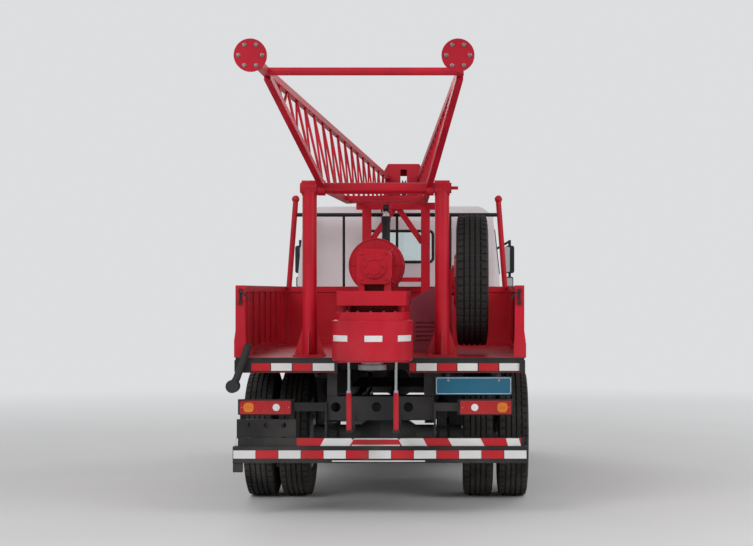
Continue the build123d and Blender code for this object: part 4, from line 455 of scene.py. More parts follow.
def collect(pieces, sides=(1,), middle=0.0, meshes=None):
    """Meshes by name, from rows of shapes by name, each row a shape and what it takes.

    Places are (x, y, z) with x measured from the middle, out to a side. X as a way turns with it.
    """
    meshes = {} if meshes is None else meshes
    for side in sides:
        def at(place):
            return spot(middle + side * place[0], *place[1:])
        for name, rows in pieces.items():
            if name not in meshes:
                meshes[name] = bmesh.new()
            mesh = meshes[name]
            for shape, first, *rest in rows:
                if shape is block:
                    block(mesh, [middle + side * x for x in first], *rest)
                elif shape is lens:
                    lens(mesh, middle + side * first, *rest)
                elif shape is rod:
                    rod(mesh, at(first), at(rest[0]), *rest[1:])
                elif shape is turned:
                    turned(mesh, first, at(rest[0]), *rest[1:])
                elif shape in (sweep, bead):
                    shape(mesh, [at(place) for place in first], *rest)
                else:
                    way = rest[0] * side if rest[0] == X else rest[0]
                    shape(mesh, at(first), way, *rest[1:])
    return meshes


def show(meshes, body, **looks):
    """Turn some of the meshes into pieces of one body, each with its finish."""
    for name, look in looks.items():
        piece(name, meshes[name], body, look)


def piece(name, mesh, body, look, stands_for=(), edge=0.0, smooth=SHARP):
    """Turn a mesh into a piece that rides on a body, with its finish and rounded edges."""
    bmesh.ops.recalc_face_normals(mesh, faces=mesh.faces)
    data = bpy.data.meshes.new(name)
    mesh.to_mesh(data)
    mesh.free()
    data.polygons.foreach_set("use_smooth", [True] * len(data.polygons))
    data.set_sharp_from_angle(angle=radians(smooth))
    made = bpy.data.objects.new(name, data)
    bpy.context.scene.collection.objects.link(made)
    if edge:
        rounding = made.modifiers.new("rounded edges", "BEVEL")
        rounding.width = edge
        rounding.segments = 2
        rounding.limit_method = "ANGLE"
        rounding.angle_limit = radians(CREASE)
        rounding.harden_normals = True
    data.materials.append(finish(look))
    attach(made, body)
    if stands_for:
        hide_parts(*stands_for)
    return made


# Finish of the solids

class RIG_OT_paint(bpy.types.Operator):
    """Give every solid of the rig its finish."""

    bl_idname = "rig.paint"
    bl_label = "Paint the solids"

    def execute(self, context):
        for look, names in NODE_LOOKS.items():
            names = names.replace("*", "left").split() + [
                name.replace("*", "right") for name in names.split() if "*" in name]
            for name in names:
                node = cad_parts[name]
                node.data.materials.clear()
                node.data.materials.append(finish(look))
        left = [n for n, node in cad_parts.items() if not node.data.materials]
        if left:
            raise RuntimeError(f"these solids have no finish: {left}")
        for name, low, high, look in PATCHES:
            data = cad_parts[name].data
            data.materials.append(finish(look))
            low_at, high_at = spot(*low), spot(*high)
            for face in data.polygons:
                centre = face.center
                if all(low_at[i] <= centre[i] <= high_at[i] for i in range(3)):
                    face.material_index = len(data.materials) - 1
        return {"FINISHED"}


# Wheels

TYRE_R, TYRE_HALF, RIM_R = 0.487, 0.118, 0.262
REAR_AXLE_Y, FRONT_AXLE_Y = 1.300, 4.200
TWIN_OUTER_X, TWIN_INNER_X, FRONT_TYRE_X = 0.972, 0.702, 0.870
# Face of the disc from the middle of a front wheel, and of a rear or spare one
FRONT_DISC, REAR_DISC = 0.135, 0.123
SPARE = (0.655, 0.640, 1.680)
# Side of a tyre's section: share of the half width, share of the wall's height
WALL = ((0.70, -0.03), (0.78, 0.0), (0.855, 0.06), (0.90, 0.13), (0.915, 0.15), (0.935, 0.15),
        (0.95, 0.20), (0.98, 0.34), (0.995, 0.47), (1.0, 0.53), (0.995, 0.60), (0.985, 0.62),
        (0.985, 0.66), (0.965, 0.74), (0.95, 0.80), (0.955, 0.815), (0.93, 0.87))
# Tread from the shoulder to the middle: share of the half width, depth as a share of a groove's,
# the same where a notch crosses, and which way it swings from side to side
TREAD = ((0.87, 0, 0.85, 0), (0.80, 0, 0.85, 0), (0.70, 0, 0.85, 0), (0.56, 0, 0.85, 1),
         (0.535, 1, 1, 1), (0.47, 1, 1, 1), (0.445, 0, 0, 1), (0.33, 0, 0.25, 1),
         (0.22, 0, 0.25, -1), (0.195, 1, 1, -1), (0.13, 1, 1, -1), (0.105, 0, 0.25, -1))
SWING = 0.010
# One pitch of the tread: share of the pitch, whether it is a cross groove's floor
PITCH = ((0.0, 0), (0.30, 0), (0.58, 0), (0.64, 1), (0.86, 1), (0.92, 0))
CROWN_DROP, SHOULDER_DROP, SHOULDER_FROM, SHOULDER_POWER = 0.0045, 0.0225, 0.60, 1.6
# Rolled edge of a rim: distance from the wheel's middle, radius
RIM_LIP = ((0.090, 0.250), (0.101, 0.2515), (0.106, 0.262), (0.1045, 0.272), (0.099, 0.275),
           (0.093, 0.262))
VALVE_FROM, VALVE_TO, VALVE_R = Vector((0.070, 0.212, 0.090)), Vector((0.115, 0.192, 0.084)), 0.004
NUTS_R, NUT_H, STUD_TO, STUD_R = 0.128, 0.75, 1.15, 0.009
HUB_BOLTS_R, HUB_BOLT = 0.082, 0.6
# Hub bolts: distance out from the disc, how many
FRONT_HUB, REAR_HUB = (0.032, 6), (0.063, 8)


def crown(share):
    """Drop of the tread's surface from the tyre's full radius at a share of the half width."""
    shoulder = max(0.0, share - SHOULDER_FROM) ** SHOULDER_POWER
    return CROWN_DROP * share ** 2 + SHOULDER_DROP * shoulder


def tyre(mesh, centre):
    """A road tyre with ribs in the middle and notched shoulders."""
    depth = sizes().tread_depth
    half_wall = [(TYRE_HALF * a, RIM_R + (TYRE_R - RIM_R) * b) for a, b in WALL]
    pitches = sizes().tread_pitches
    rings = []
    for i in range(pitches):
        for share, notch in PITCH:
            turn = 2 * pi * (i + share) / pitches
            shift = SWING * sin(2 * pi * share)
            half = half_wall + [
                (TYRE_HALF * (a + way * shift), TYRE_R - crown(a) - depth * (cut if notch else low))
                for a, low, cut, way in TREAD]
            section = half + [(-a, r) for a, r in reversed(half)]
            rings.append([centre + Vector((a, r * cos(turn), r * sin(turn)))
                          for a, r in section])
    loft(mesh, rings, looped=True)


class RIG_OT_tyres(bpy.types.Operator):
    """Make the seven tyres, with their tread."""

    bl_idname = "rig.tyres"
    bl_label = "Tyres"

    def execute(self, context):
        rows = [("spare_tyre", "truck", [SPARE])]
        for name, side in SIDES:
            rows.append((f"front_tyre_{name}", f"front_wheel_{name}",
                         [(side * FRONT_TYRE_X, FRONT_AXLE_Y, TYRE_R)]))
            rows.append((f"rear_tyres_{name}", f"rear_wheel_{name}",
                         [(side * x, REAR_AXLE_Y, TYRE_R) for x in (TWIN_OUTER_X, TWIN_INNER_X)]))
        for node, body, centres in rows:
            mesh = bmesh.new()
            for centre in centres:
                tyre(mesh, spot(*centre))
            piece(f"{node}_treaded", mesh, body, "tyre_rubber", (node,), smooth=TREAD_ANGLE)
        return {"FINISHED"}


class RIG_OT_wheel_trim(bpy.types.Operator):
    """Rim edges, nuts, hub bolts and valves of all the wheels."""

    bl_idname = "rig.wheel_trim"
    bl_label = "Wheel nuts and rim edges"

    def execute(self, context):
        for name, side in SIDES:
            x = side * FRONT_TYRE_X
            self.trim("front", f"_{name}", f"front_wheel_{name}", (x,), FRONT_AXLE_Y, TYRE_R,
                      x + side * FRONT_DISC, side, FRONT_HUB)
            xs = (side * TWIN_OUTER_X, side * TWIN_INNER_X)
            self.trim("rear", f"_{name}", f"rear_wheel_{name}", xs, REAR_AXLE_Y, TYRE_R,
                      xs[0] - side * REAR_DISC, side, REAR_HUB)
        x, y, z = SPARE
        self.trim("spare", "", "truck", (x,), y, z, x - REAR_DISC, 1, None)
        return {"FINISHED"}

    def trim(self, kind, tail, body, xs, y, z, disc_x, side, hub):
        """One wheel's or one twin pair's rim edges, and the nuts and bolts on its disc."""
        lips, nuts = bmesh.new(), bmesh.new()
        out = X * side
        for x in xs:
            centre = spot(x, y, z)
            for end in ENDS:
                turned(lips, [(end * a, r) for a, r in RIM_LIP], centre, X, FINE)
            mirrored = Matrix.Scale(side, 3, X)
            rod(lips, centre + mirrored @ VALVE_FROM, centre + mirrored @ VALVE_TO, VALVE_R, COARSE)
        size = sizes().nut_size
        for point in circle(spot(disc_x, y, z), X, NUTS_R, sizes().wheel_nuts):
            bolt(nuts, point, out, size / sizes().bolt_size, NUT_H)
            rod(nuts, point + out * size * NUT_H, point + out * size * STUD_TO, STUD_R, STUD)
        if hub:
            bolt_ring(nuts, spot(disc_x + side * hub[0], y, z), out, HUB_BOLTS_R, hub[1],
                      HUB_BOLT)
        piece(f"{kind}_rim_edges{tail}", lips, body, "rim_paint")
        piece(f"{kind}_wheel_nuts{tail}", nuts, body, "steel")


# Rear of the truck

STRIP_GAP = 0.0015
LOW_STRIPS, LOW_STRIP_X, LOW_STRIP_Z = 13, 1.037, (0.416, 0.474)
# Reflective strips on the bed's skirt: left end, right end, colour
SKIRT_STRIPS = (
    (-1.018, -0.980, "white"), (-0.908, -0.774, "red"), (-0.768, -0.622, "white"),
    (-0.616, -0.480, "red"), (-0.474, -0.322, "white"),
    (0.210, 0.254, "red"), (0.258, 0.402, "white"), (0.406, 0.542, "red"),
    (0.548, 0.690, "white"), (0.698, 0.838, "red"), (0.844, 0.990, "white"),
)
SKIRT_STRIP_Z = (1.036, 1.090)
# The upper face of the underrun bar: red sheeting with slanted white blocks on it, each with its
# foot's left and right end and how far its top leans to the right
BAR_FACE_Y = 0.024
HAZARD_X, HAZARD_Z = (-0.590, 0.998), (0.503, 0.558)
HAZARD_BLOCKS = (
    (-0.424, -0.214, 0.030), (0.156, 0.334, -0.030), (0.510, 0.740, -0.030),
    (0.906, 0.998, -0.016),
)
# White edges: their ends, the face that they lie on, their feet
LEFT_END_X, HAZARD_EDGE_X, FOOT_EDGE_X = (-1.018, -1.006), (-0.200, 0.142), (-0.338, 0.319)
HAZARD_EDGES_Z, FOOT_EDGE_Z, EDGE_H = (0.503, 0.549), 0.394, 0.009
DRUM_R, HOLE_Y = 0.280, -0.220
# White patches round the head's drum, in degrees from straight behind
DRUM_PATCHES = ((-70, -34), (-8, 17), (41, 74))
DRUM_PATCH_Z, DRUM_PATCH_STEPS, DRUM_GAP = (1.256, 1.298), 10, 0.0001


class RIG_OT_strips(bpy.types.Operator):
    """Reflective strips and slanted hazard blocks on the rear of the truck."""

    bl_idname = "rig.strips"
    bl_label = "Reflective strips"

    def execute(self, context):
        thick = sizes().strip_thick
        upper = BAR_FACE_Y - thick
        step = 2 * LOW_STRIP_X / LOW_STRIPS
        rows = []
        for i in range(LOW_STRIPS):
            x = -LOW_STRIP_X + step * i
            rows.append(("red" if i % 2 else "white", (x + STRIP_GAP, x + step - STRIP_GAP), 0.0,
                         LOW_STRIP_Z))
        rows += [(colour, (x0, x1), -thick, SKIRT_STRIP_Z) for x0, x1, colour in SKIRT_STRIPS]
        rows.append(("red", HAZARD_X, BAR_FACE_Y, HAZARD_Z))
        rows += [("white", HAZARD_EDGE_X, upper, (z, z + EDGE_H)) for z in HAZARD_EDGES_Z]
        rows.append(("white", FOOT_EDGE_X, 0.0, (FOOT_EDGE_Z, FOOT_EDGE_Z + EDGE_H)))
        rows.append(("white", LEFT_END_X, BAR_FACE_Y, HAZARD_Z))
        strips = {"white": bmesh.new(), "red": bmesh.new()}
        for colour, xs, back, zs in rows:
            block(strips[colour], xs, (back - thick, back), zs)
        z0, z1 = HAZARD_Z
        for left, right, lean in HAZARD_BLOCKS:
            outline = [(left, z0), (right, z0), (right + lean, z1), (left + lean, z1)]
            prism(strips["white"], outline, upper - thick, upper)
        for colour, mesh in strips.items():
            piece(f"reflective_strips_{colour}", mesh, "truck", f"strip_{colour}")
        patches = bmesh.new()
        for ends in DRUM_PATCHES:
            self.drum_patch(patches, *ends, thick)
        piece("head_reflective_patches", patches, "head", "strip_white")
        return {"FINISHED"}

    def drum_patch(self, mesh, first, last, thick):
        """A curved patch on the drum of the rotary head."""
        z0, z1 = DRUM_PATCH_Z
        inner, outer = DRUM_R + DRUM_GAP, DRUM_R + thick
        rings = []
        for i in range(DRUM_PATCH_STEPS + 1):
            turn = radians(first + (last - first) * i / DRUM_PATCH_STEPS)
            rings.append([spot(RIG_X + r * sin(turn), HOLE_Y - r * cos(turn), z)
                          for r, z in ((inner, z0), (outer, z0), (outer, z1), (inner, z1))])
        loft(mesh, rings)


# Tail lamps: middle along X and which way is outward
LAMPS = ((-0.812, -1), (0.748, 1))
LAMP_Z, RIBS, RED_W = 0.776, 34, 0.362
AMBER_DOME = ((0.0, 0.0008), (0.0, 0.006), (-0.0022, 0.004), (-0.0028, 0.0008))
OVAL = ((0.0, 0.001), (0.0, 0.020), (-0.004, 0.026), (-0.0075, 0.0255), (-0.0095, 0.018),
        (-0.010, 0.001))
# Rows for collect(): layers of the housing, red lens with its ribs, amber lens with its domes
LAMP = {
    "tail_lamp_housings": [
        (lens, 0.0, LAMP_Z, 0.380, 0.113, 0.014, 0.0360, 0.0655),
        (lens, 0.0, LAMP_Z, 0.372, 0.105, 0.012, 0.0300, 0.0360),
    ],
    "tail_lamp_red_lenses": [
        (lens, 0.0, LAMP_Z, RED_W, 0.095, 0.012, 0.0225, 0.0310),
        *[(rod, (x, 0.0228, 0.7345), (x, 0.0228, 0.8175), 0.0026, HEXAGON)
          for x in [RED_W * ((i + 0.5) / RIBS - 0.5) for i in range(RIBS)]],
    ],
    "tail_lamp_amber_lenses": [
        (lens, 0.118, LAMP_Z, 0.074, 0.070, 0.030, 0.0170, 0.0230),
        *[(turned, AMBER_DOME, (x, 0.0170, LAMP_Z), Y, 10)
          for x in (0.094, 0.106, 0.118, 0.130, 0.142)],
    ],
    "reversing_lenses": [(turned, OVAL, (-0.078, 0.0245, LAMP_Z), Y, 32)],
    "tail_lamp_screws": [
        (rod, (x, 0.0185, LAMP_Z), (x, 0.0235, LAMP_Z), 0.0045, 12) for x in (-0.165, 0.165)],
}


class RIG_OT_tail_lamps(bpy.types.Operator):
    """Rear lamps: black housings, ribbed red lens, amber lens, oval reversing lens."""

    bl_idname = "rig.tail_lamps"
    bl_label = "Tail lamps"

    def execute(self, context):
        meshes = {}
        for x, out in LAMPS:
            collect(LAMP, (out,), x, meshes)
        piece("tail_lamp_housings", meshes["tail_lamp_housings"], "truck", "black_plastic",
              ("tail_lamps",), SHEET_EDGE)
        show(meshes, "truck", tail_lamp_red_lenses="lamp_red", tail_lamp_amber_lenses="lamp_amber",
             reversing_lenses="lamp_clear", tail_lamp_screws="steel")
        return {"FINISHED"}


PLATE = [(x, 0.0138, z) for x, z in (
    (0.400, 0.874), (0.924, 0.874), (0.924, 0.985), (0.400, 0.985))]
SKIRT_ENDS, SKIRT_Z = ((-1.020, -0.300), (0.205, 1.020)), (1.024, 1.114)
LATCH_TAIL = ((0.985, -0.012, 1.600), (0.960, -0.026, 1.585), (0.935, -0.028, 1.560),
              (0.925, -0.026, 1.535))
REAR = {
    "plate_border": [(bead, PLATE, 0.012, 0.0022, 6)],
    "rear_bolts": [(bolt, (x, 0.014, 0.968), -Y, 0.6) for x in (0.482, 0.842)],
    "skirt_edge": [
        *[(block, ends, (-0.004, 0.0), (1.114, 1.130)) for ends in SKIRT_ENDS],
        (block, (-1.040, -0.975), (0.010, 0.060), (0.318, 0.3855)),
    ],
}
# The same for both sides: corner blocks, bolts through the chassis rails, latches
REAR_PAIRS = {
    "skirt_edge": [(block, (0.985, 1.026), (-0.012, 0.0), (1.030, 1.112))],
    "rear_bolts": [(bolt, (0.386, 0.120, z), X, 0.9) for z in (0.500, 0.545, 0.590, 0.635)],
    "corner_latches": [
        (rod, (0.985, -0.012, 1.520), (0.985, -0.012, 1.600), 0.008),
        (sweep, LATCH_TAIL, 0.007),
        (block, (0.972, 0.998), (-0.020, 0.0), (1.505, 1.525)),
        (block, (0.972, 0.998), (-0.020, 0.0), (1.595, 1.615)),
    ],
}


class RIG_OT_rear_fittings(bpy.types.Operator):
    """Plate border and bolts, skirt edge, corner blocks, latches and bar bolts at the rear."""

    bl_idname = "rig.rear_fittings"
    bl_label = "Rear fittings"

    def execute(self, context):
        meshes = collect(REAR)
        collect(REAR_PAIRS, ENDS, 0.0, meshes)
        for ends in SKIRT_ENDS:
            block(meshes["skirt_edge"], ends, (-sizes().strip_thick, 0.0), SKIRT_Z)
        show(meshes, "truck", plate_border="strip_white", rear_bolts="steel")
        piece("skirt_edge", meshes["skirt_edge"], "truck", "black_frame", edge=SHEET_EDGE)
        show(meshes, "truck", corner_latches="black_frame")
        return {"FINISHED"}


# Rig fittings

# Rows for collect(), x from the rig's middle: bolts that both sides have
RIG_PAIRS = {
    "rig_bolts": [
        *[(bolt, (0.477 + a, 0.220 + b, 1.144), Z, 1.0)
          for a in (-0.088, 0.088) for b in (-0.088, 0.088)],
        *[(bolt, (0.188, y, 1.150), Z, 0.9) for y in (0.12, 0.36, 0.58)],
        (bolt, (0.163, -0.245, 0.637), Z, 0.6),
        *[(bolt, (0.088, -0.020, z), -Y, 0.7) for z in (1.683, 1.863)],
    ],
    "mast_bolts": [
        *[(bolt, (0.150, y, 2.90), X, 0.8) for y in (5.75, 5.93)],
        (bolt_ring, (0.597, -2.110, 2.956), -Y, 0.068, 6, 0.7),
    ],
}
GEARBOX_DISC = ((0.0, 0.050), (0.0, 0.058), (-0.004, 0.060), (-0.004, 0.048))
# The gearbox's face and the head's top
RIG_MIDDLE = {
    "rig_bolts": [(bolt_ring, (0.0, -0.034, 1.773), -Y, 0.066, 8, 0.65)],
    "head_bolts": [(bolt_ring, (0.0, -0.220, 1.455), Z, 0.232, 16, 0.75)],
    "gearbox_emboss": [(turned, GEARBOX_DISC, (0.0, -0.034, 1.773), Y, 40)],
}
WINCH_Z = 1.784
# Winch flanges: y of the face, which way it looks
WINCH_FACES = ((0.250, -1), (0.520, 1))
# Rim of a flange: share of its thickness, radius
FLANGE_RIM = ((0, 0.188), (1, 0.189), (1, 0.1985), (0, 0.1985))
FLANGE_RIM_H, FLANGE_RIBS, RIB_FROM, RIB_TO, FLANGE_RIB_R = 0.006, 8, 0.060, 0.186, 0.0055


class RIG_OT_rig_bolts(bpy.types.Operator):
    """Bolts on the gantry feet, pivot, gearbox, head, feed bracket and mast feet."""

    bl_idname = "rig.rig_bolts"
    bl_label = "Rig bolts"

    def execute(self, context):
        meshes = collect(RIG_PAIRS, ENDS, RIG_X)
        collect(RIG_MIDDLE, (1,), RIG_X, meshes)
        show(meshes, "truck", rig_bolts="red_paint")
        show(meshes, "mast", mast_bolts="steel")
        show(meshes, "head", head_bolts="red_paint")
        show(meshes, "truck", gearbox_emboss="red_paint")
        return {"FINISHED"}


class RIG_OT_winch_trim(bpy.types.Operator):
    """Ribs and raised rims on the winch flanges."""

    bl_idname = "rig.winch_trim"
    bl_label = "Winch trim"

    def execute(self, context):
        ribs = bmesh.new()
        for y, out in WINCH_FACES:
            centre = spot(RIG_X, y, WINCH_Z)
            turned(ribs, [(out * FLANGE_RIM_H * a, r) for a, r in FLANGE_RIM], centre, Y, FINE)
            for way in spokes(Y, FLANGE_RIBS):
                rod(ribs, centre + way * RIB_FROM, centre + way * RIB_TO, FLANGE_RIB_R, COARSE)
        piece("winch_flange_ribs", ribs, "winch", "red_paint")
        return {"FINISHED"}


# Cab

CAB_HALF, SILL_Z, CAB_TOP_Z, TUMBLEHOME = 0.925, 1.700, 2.290, 0.065
# Windscreen's slope: y and z at its foot and at its top
SCREEN_FOOT, SCREEN_TOP, SCREEN_GAP = (4.975, 1.650), (4.640, 2.310), 0.004
REAR_GLASS_Y = 3.298
# Corners of the windows: (x, z) at the rear and front, (y, z) on the sides
REAR_WINDOW = ((-0.315, 1.865), (0.315, 1.865), (0.315, 2.147), (-0.315, 2.147))
SCREEN = ((-0.800, 1.660), (0.800, 1.660), (0.740, 2.240), (-0.740, 2.240))
QUARTER = ((3.410, 1.760), (3.630, 1.760), (3.630, 2.160), (3.410, 2.160))
DOOR_WINDOW = ((3.790, 1.720), (4.690, 1.720), (4.560, 2.180), (3.790, 2.180))
WIDE_CORNER, SIDE_CORNER, SIDE_SEAL = 0.042, 0.034, 0.8


def cab_side_x(z):
    """Half width of the cab's side at a height."""
    return CAB_HALF - TUMBLEHOME * max(0.0, z - SILL_Z) / (CAB_TOP_Z - SILL_Z)


def screen_y(z):
    """Place of the sloping windscreen at a height."""
    low, high = SCREEN_FOOT, SCREEN_TOP
    return low[0] + (high[0] - low[0]) * (z - low[1]) / (high[1] - low[1])


class RIG_OT_cab_seals(bpy.types.Operator):
    """Rubber seals round the cab's windows."""

    bl_idname = "rig.cab_seals"
    bl_label = "Window seals"

    def execute(self, context):
        radius = sizes().seal_radius
        fixed = bmesh.new()
        bead(fixed, [spot(x, REAR_GLASS_Y, z) for x, z in REAR_WINDOW], WIDE_CORNER, radius)
        bead(fixed, [spot(x, screen_y(z) + SCREEN_GAP, z) for x, z in SCREEN], WIDE_CORNER, radius)
        for side in ENDS:
            self.side_seal(fixed, QUARTER, side)
        piece("window_seals", fixed, "truck", "black_plastic", smooth=SOFT)
        for name, side in SIDES:
            seal = bmesh.new()
            self.side_seal(seal, DOOR_WINDOW, side)
            piece(f"door_window_seal_{name}", seal, f"door_body_{name}", "black_plastic",
                  smooth=SOFT)
        return {"FINISHED"}

    def side_seal(self, mesh, corners, side):
        path = [spot(side * cab_side_x(z), y, z) for y, z in corners]
        bead(mesh, path, SIDE_CORNER, sizes().seal_radius * SIDE_SEAL)


HANDLE = [(CAB_HALF + out, y, 1.560) for out, y in (
    (0.0, 3.775), (0.026, 3.790), (0.030, 3.850), (0.026, 3.910), (0.0, 3.925))]
# Rows for collect(), for both sides: a door's handle and its plate
HANDLE_PAIRS = {"handle": [
    (sweep, HANDLE, 0.010, 8, False, 1.3),
    (block, (CAB_HALF, CAB_HALF + 0.004), (3.765, 3.935), (1.535, 1.590)),
]}
# Drip rails and the mirrors' panes
CAB_PAIRS = {
    "cab_drip_rails": [(sweep, ((0.862, 3.345, 2.288), (0.862, 4.60, 2.288)), 0.010)],
    "mirror_glass": [
        (lens, 1.028, 1.920, 0.072, 0.256, 0.020, 4.9105, 4.9080),
        (lens, 1.062, 1.6925, 0.060, 0.081, 0.014, 4.9125, 4.9100),
    ],
}
# The steering wheel's grip, its section turned about the column
GRIP = [(0.013 * sin(radians(a)), 0.220 + 0.021 * cos(radians(a))) for a in range(0, 360, 30)]
COLUMN = Vector((0, -310, 170)).normalized()
WHEEL = {"wipers_and_wheel_grip": [(turned, GRIP, (-0.480, 4.330, 1.620), COLUMN)]}
# Wipers: x of each, then from it the arm's foot and the blade's middle
WIPERS_X, WIPER_FOOT, WIPER_SHIFT = (-0.30, 0.30), (0.16, 4.990, 1.640), -0.17
WIPER_Z, WIPER_OFF, WIPER_ARM_R, WIPER_BLADE_R = 1.725, 0.024, 0.006, 0.0075
WIPER_BLADE, WIPER_AXIS = Vector((0.27, -0.004, 0.008)), Vector((0, 0.6, 0.8))
WIPER_BOSS = ((-0.010, 0.001), (-0.010, 0.017), (0.010, 0.014), (0.010, 0.001))


class RIG_OT_cab_fittings(bpy.types.Operator):
    """Door handles, drip rails, wipers, mirror glass and the steering wheel's grip."""

    bl_idname = "rig.cab_fittings"
    bl_label = "Cab fittings"

    def execute(self, context):
        for name, side in SIDES:
            handle = collect(HANDLE_PAIRS, (side,))["handle"]
            piece(f"door_handle_{name}", handle, f"door_body_{name}", "black_plastic")
        meshes = collect(CAB_PAIRS, ENDS)
        collect(WHEEL, (1,), 0.0, meshes)
        wipers = meshes["wipers_and_wheel_grip"]
        for x in WIPERS_X:
            foot = spot(x, 0, 0) + Vector(WIPER_FOOT)
            middle = spot(x + WIPER_SHIFT, screen_y(WIPER_Z) + WIPER_OFF, WIPER_Z)
            rod(wipers, foot, middle, WIPER_ARM_R, COARSE)
            rod(wipers, middle - WIPER_BLADE, middle + WIPER_BLADE, WIPER_BLADE_R, HEXAGON)
            turned(wipers, WIPER_BOSS, foot, WIPER_AXIS, WASHER)
        show(meshes, "truck", cab_drip_rails="white_cab", wipers_and_wheel_grip="black_plastic",
             mirror_glass="mirror_glass")
        return {"FINISHED"}


NOSE_Y, NOSE_R, NOSE_FOOT_Z, NOSE_TOP_Z = 5.050, 0.170, 0.835, 1.550
NOSE_SLOPE, NOSE_TOP_GAP = 1.333, 0.0015
# The panels' arc in degrees, and how far their two faces lie inside the cab's
NOSE_ARC, NOSE_STEPS, NOSE_OUTER, NOSE_INNER = (31.0, 59.0), 14, 0.0003, 0.005


class RIG_OT_cab_corners(bpy.types.Operator):
    """Close the rounded front corners of the cab."""

    bl_idname = "rig.cab_corners"
    bl_label = "Cab corners"

    def execute(self, context):
        panels = bmesh.new()
        for side in ENDS:
            rings = []
            for i in range(NOSE_STEPS + 1):
                turn = radians(NOSE_ARC[0] + (NOSE_ARC[1] - NOSE_ARC[0]) * i / NOSE_STEPS)
                ring = []
                for inside, top in ((NOSE_OUTER, 0), (NOSE_OUTER, 1), (NOSE_INNER, 1),
                                    (NOSE_INNER, 0)):
                    radius = NOSE_R - inside
                    x = CAB_HALF - NOSE_R + radius * cos(turn)
                    y = NOSE_Y - NOSE_R + radius * sin(turn)
                    high = NOSE_TOP_Z + (NOSE_Y - y) * NOSE_SLOPE - NOSE_TOP_GAP
                    ring.append(spot(side * x, y, high if top else NOSE_FOOT_Z))
                rings.append(ring)
            loft(panels, rings)
        piece("cab_corner_panels", panels, "truck", "white_cab", smooth=PANEL_ANGLE)
        return {"FINISHED"}


POCKET_Z, LENS_Y = 0.665, 5.104
# Corners of a lamp pocket in the bumper, as (x, z)
POCKET = ((0.550, 0.580), (0.850, 0.580), (0.850, 0.750), (0.550, 0.750))
HEAD_LAMPS = {
    "head_lamp_bezels": [(bead, [(x, 5.110, z) for x, z in POCKET], 0.016, 0.005)],
    "head_lamp_bowls": [],
    "head_lamp_domes": [],
    "front_turn_lenses": [(lens, 0.832, POCKET_Z, 0.024, 0.138, 0.008, 5.102, 5.109)],
}
# Round lamps in each pocket: distance from the middle of the truck, radius
for lamp_x, lamp_r in ((0.636, 0.066), (0.762, 0.048)):
    bowl = ((0.0005, 0.001), (0.0005, lamp_r - 0.006), (0.006, lamp_r), (-0.002, lamp_r))
    dome = [(0.0020 + 0.0075 * cos(radians(a)), (lamp_r - 0.005) * sin(radians(a)))
            for a in (1, 18, 36, 54, 72, 90)]
    dome = [(0.0015, 0.0008), *dome, (0.0015, lamp_r - 0.005)]
    for lamp_name, lamp_form in (("head_lamp_bowls", bowl), ("head_lamp_domes", dome)):
        HEAD_LAMPS[lamp_name].append((turned, lamp_form, (lamp_x, LENS_Y, POCKET_Z), Y, 40))


class RIG_OT_head_lamps(bpy.types.Operator):
    """Bezels, reflectors, domed lenses and turn signals in the bumper."""

    bl_idname = "rig.head_lamps"
    bl_label = "Head lamps"

    def execute(self, context):
        meshes = collect(HEAD_LAMPS, ENDS)
        piece("head_lamp_bezels", meshes["head_lamp_bezels"], "truck", "black_plastic", smooth=SOFT)
        show(meshes, "truck", head_lamp_bowls="mirror_glass")
        piece("head_lamp_domes", meshes["head_lamp_domes"], "truck", "lamp_clear", smooth=SOFT)
        show(meshes, "truck", front_turn_lenses="lamp_amber")
        return {"FINISHED"}


TANK = ((0.420, 0.470), (0.800, 0.470), (0.800, 0.850), (0.420, 0.850))
TANK_MIDDLE, TANK_STRAPS_Y, TANK_CORNER = (0.610, 0.660), (2.270, 2.760), 0.060
STRAP_HALF_W, STRAP_HALF_T, TANK_STEPS = 0.020, 0.004, 6
BAND = [(a, 0.085 + r) for a, r in (
    (-0.016, -0.002), (-0.016, 0.003), (0.016, 0.003), (0.016, -0.002))]
CAP = ((0.0, 0.001), (0.0, 0.044), (0.022, 0.044), (0.028, 0.038), (0.028, 0.001))
RESERVOIRS_Z, HASPS_Y = (0.620, 0.800), (2.660, 2.860)
CAP_AT, CAP_R, CAP_GRIPS = (0.720, 2.250, 0.888), 0.044, 24
CAP_GRIP_FROM, CAP_GRIP_H, CAP_GRIP_R = 0.002, 0.020, 0.003
# Rows for collect(): drains and bands of the air reservoirs, box latches, fuel cap
CHASSIS = {
    "tank_straps": [
        *[(rod, (-0.500, 2.028, z), (-0.500, 2.002, z), 0.014, 12) for z in RESERVOIRS_Z],
        *[(turned, BAND, (-0.500, y, z), Y, 40) for y in (2.120, 2.440) for z in RESERVOIRS_Z],
        *[(block, (-0.728, -0.709), (y - 0.018, y + 0.018), (0.765, 0.835)) for y in HASPS_Y],
        *[(rod, (-0.724, y, 0.765), (-0.716, y, 0.835), 0.007, 10) for y in HASPS_Y],
    ],
    "fuel_cap": [(turned, CAP, CAP_AT, Z, 36)],
}
# The same for both sides: the rear springs' clamps, with their nuts and plates
CLAMP = ((0.388, 0.395), (0.388, 0.600), (0.400, 0.610), (0.460, 0.610), (0.472, 0.600),
         (0.472, 0.395))
CLAMPS_Y = (REAR_AXLE_Y - 0.072, REAR_AXLE_Y + 0.072)
CHASSIS_PAIRS = {"spring_clamps": [
    *[(sweep, [(x, y, z) for x, z in CLAMP], 0.008, 10) for y in CLAMPS_Y],
    *[(bolt, (x, y, 0.411), -Z, 1.1) for x in (0.388, 0.472) for y in CLAMPS_Y],
    (block, (0.368, 0.492), (REAR_AXLE_Y - 0.095, REAR_AXLE_Y + 0.095), (0.411, 0.425)),
]}


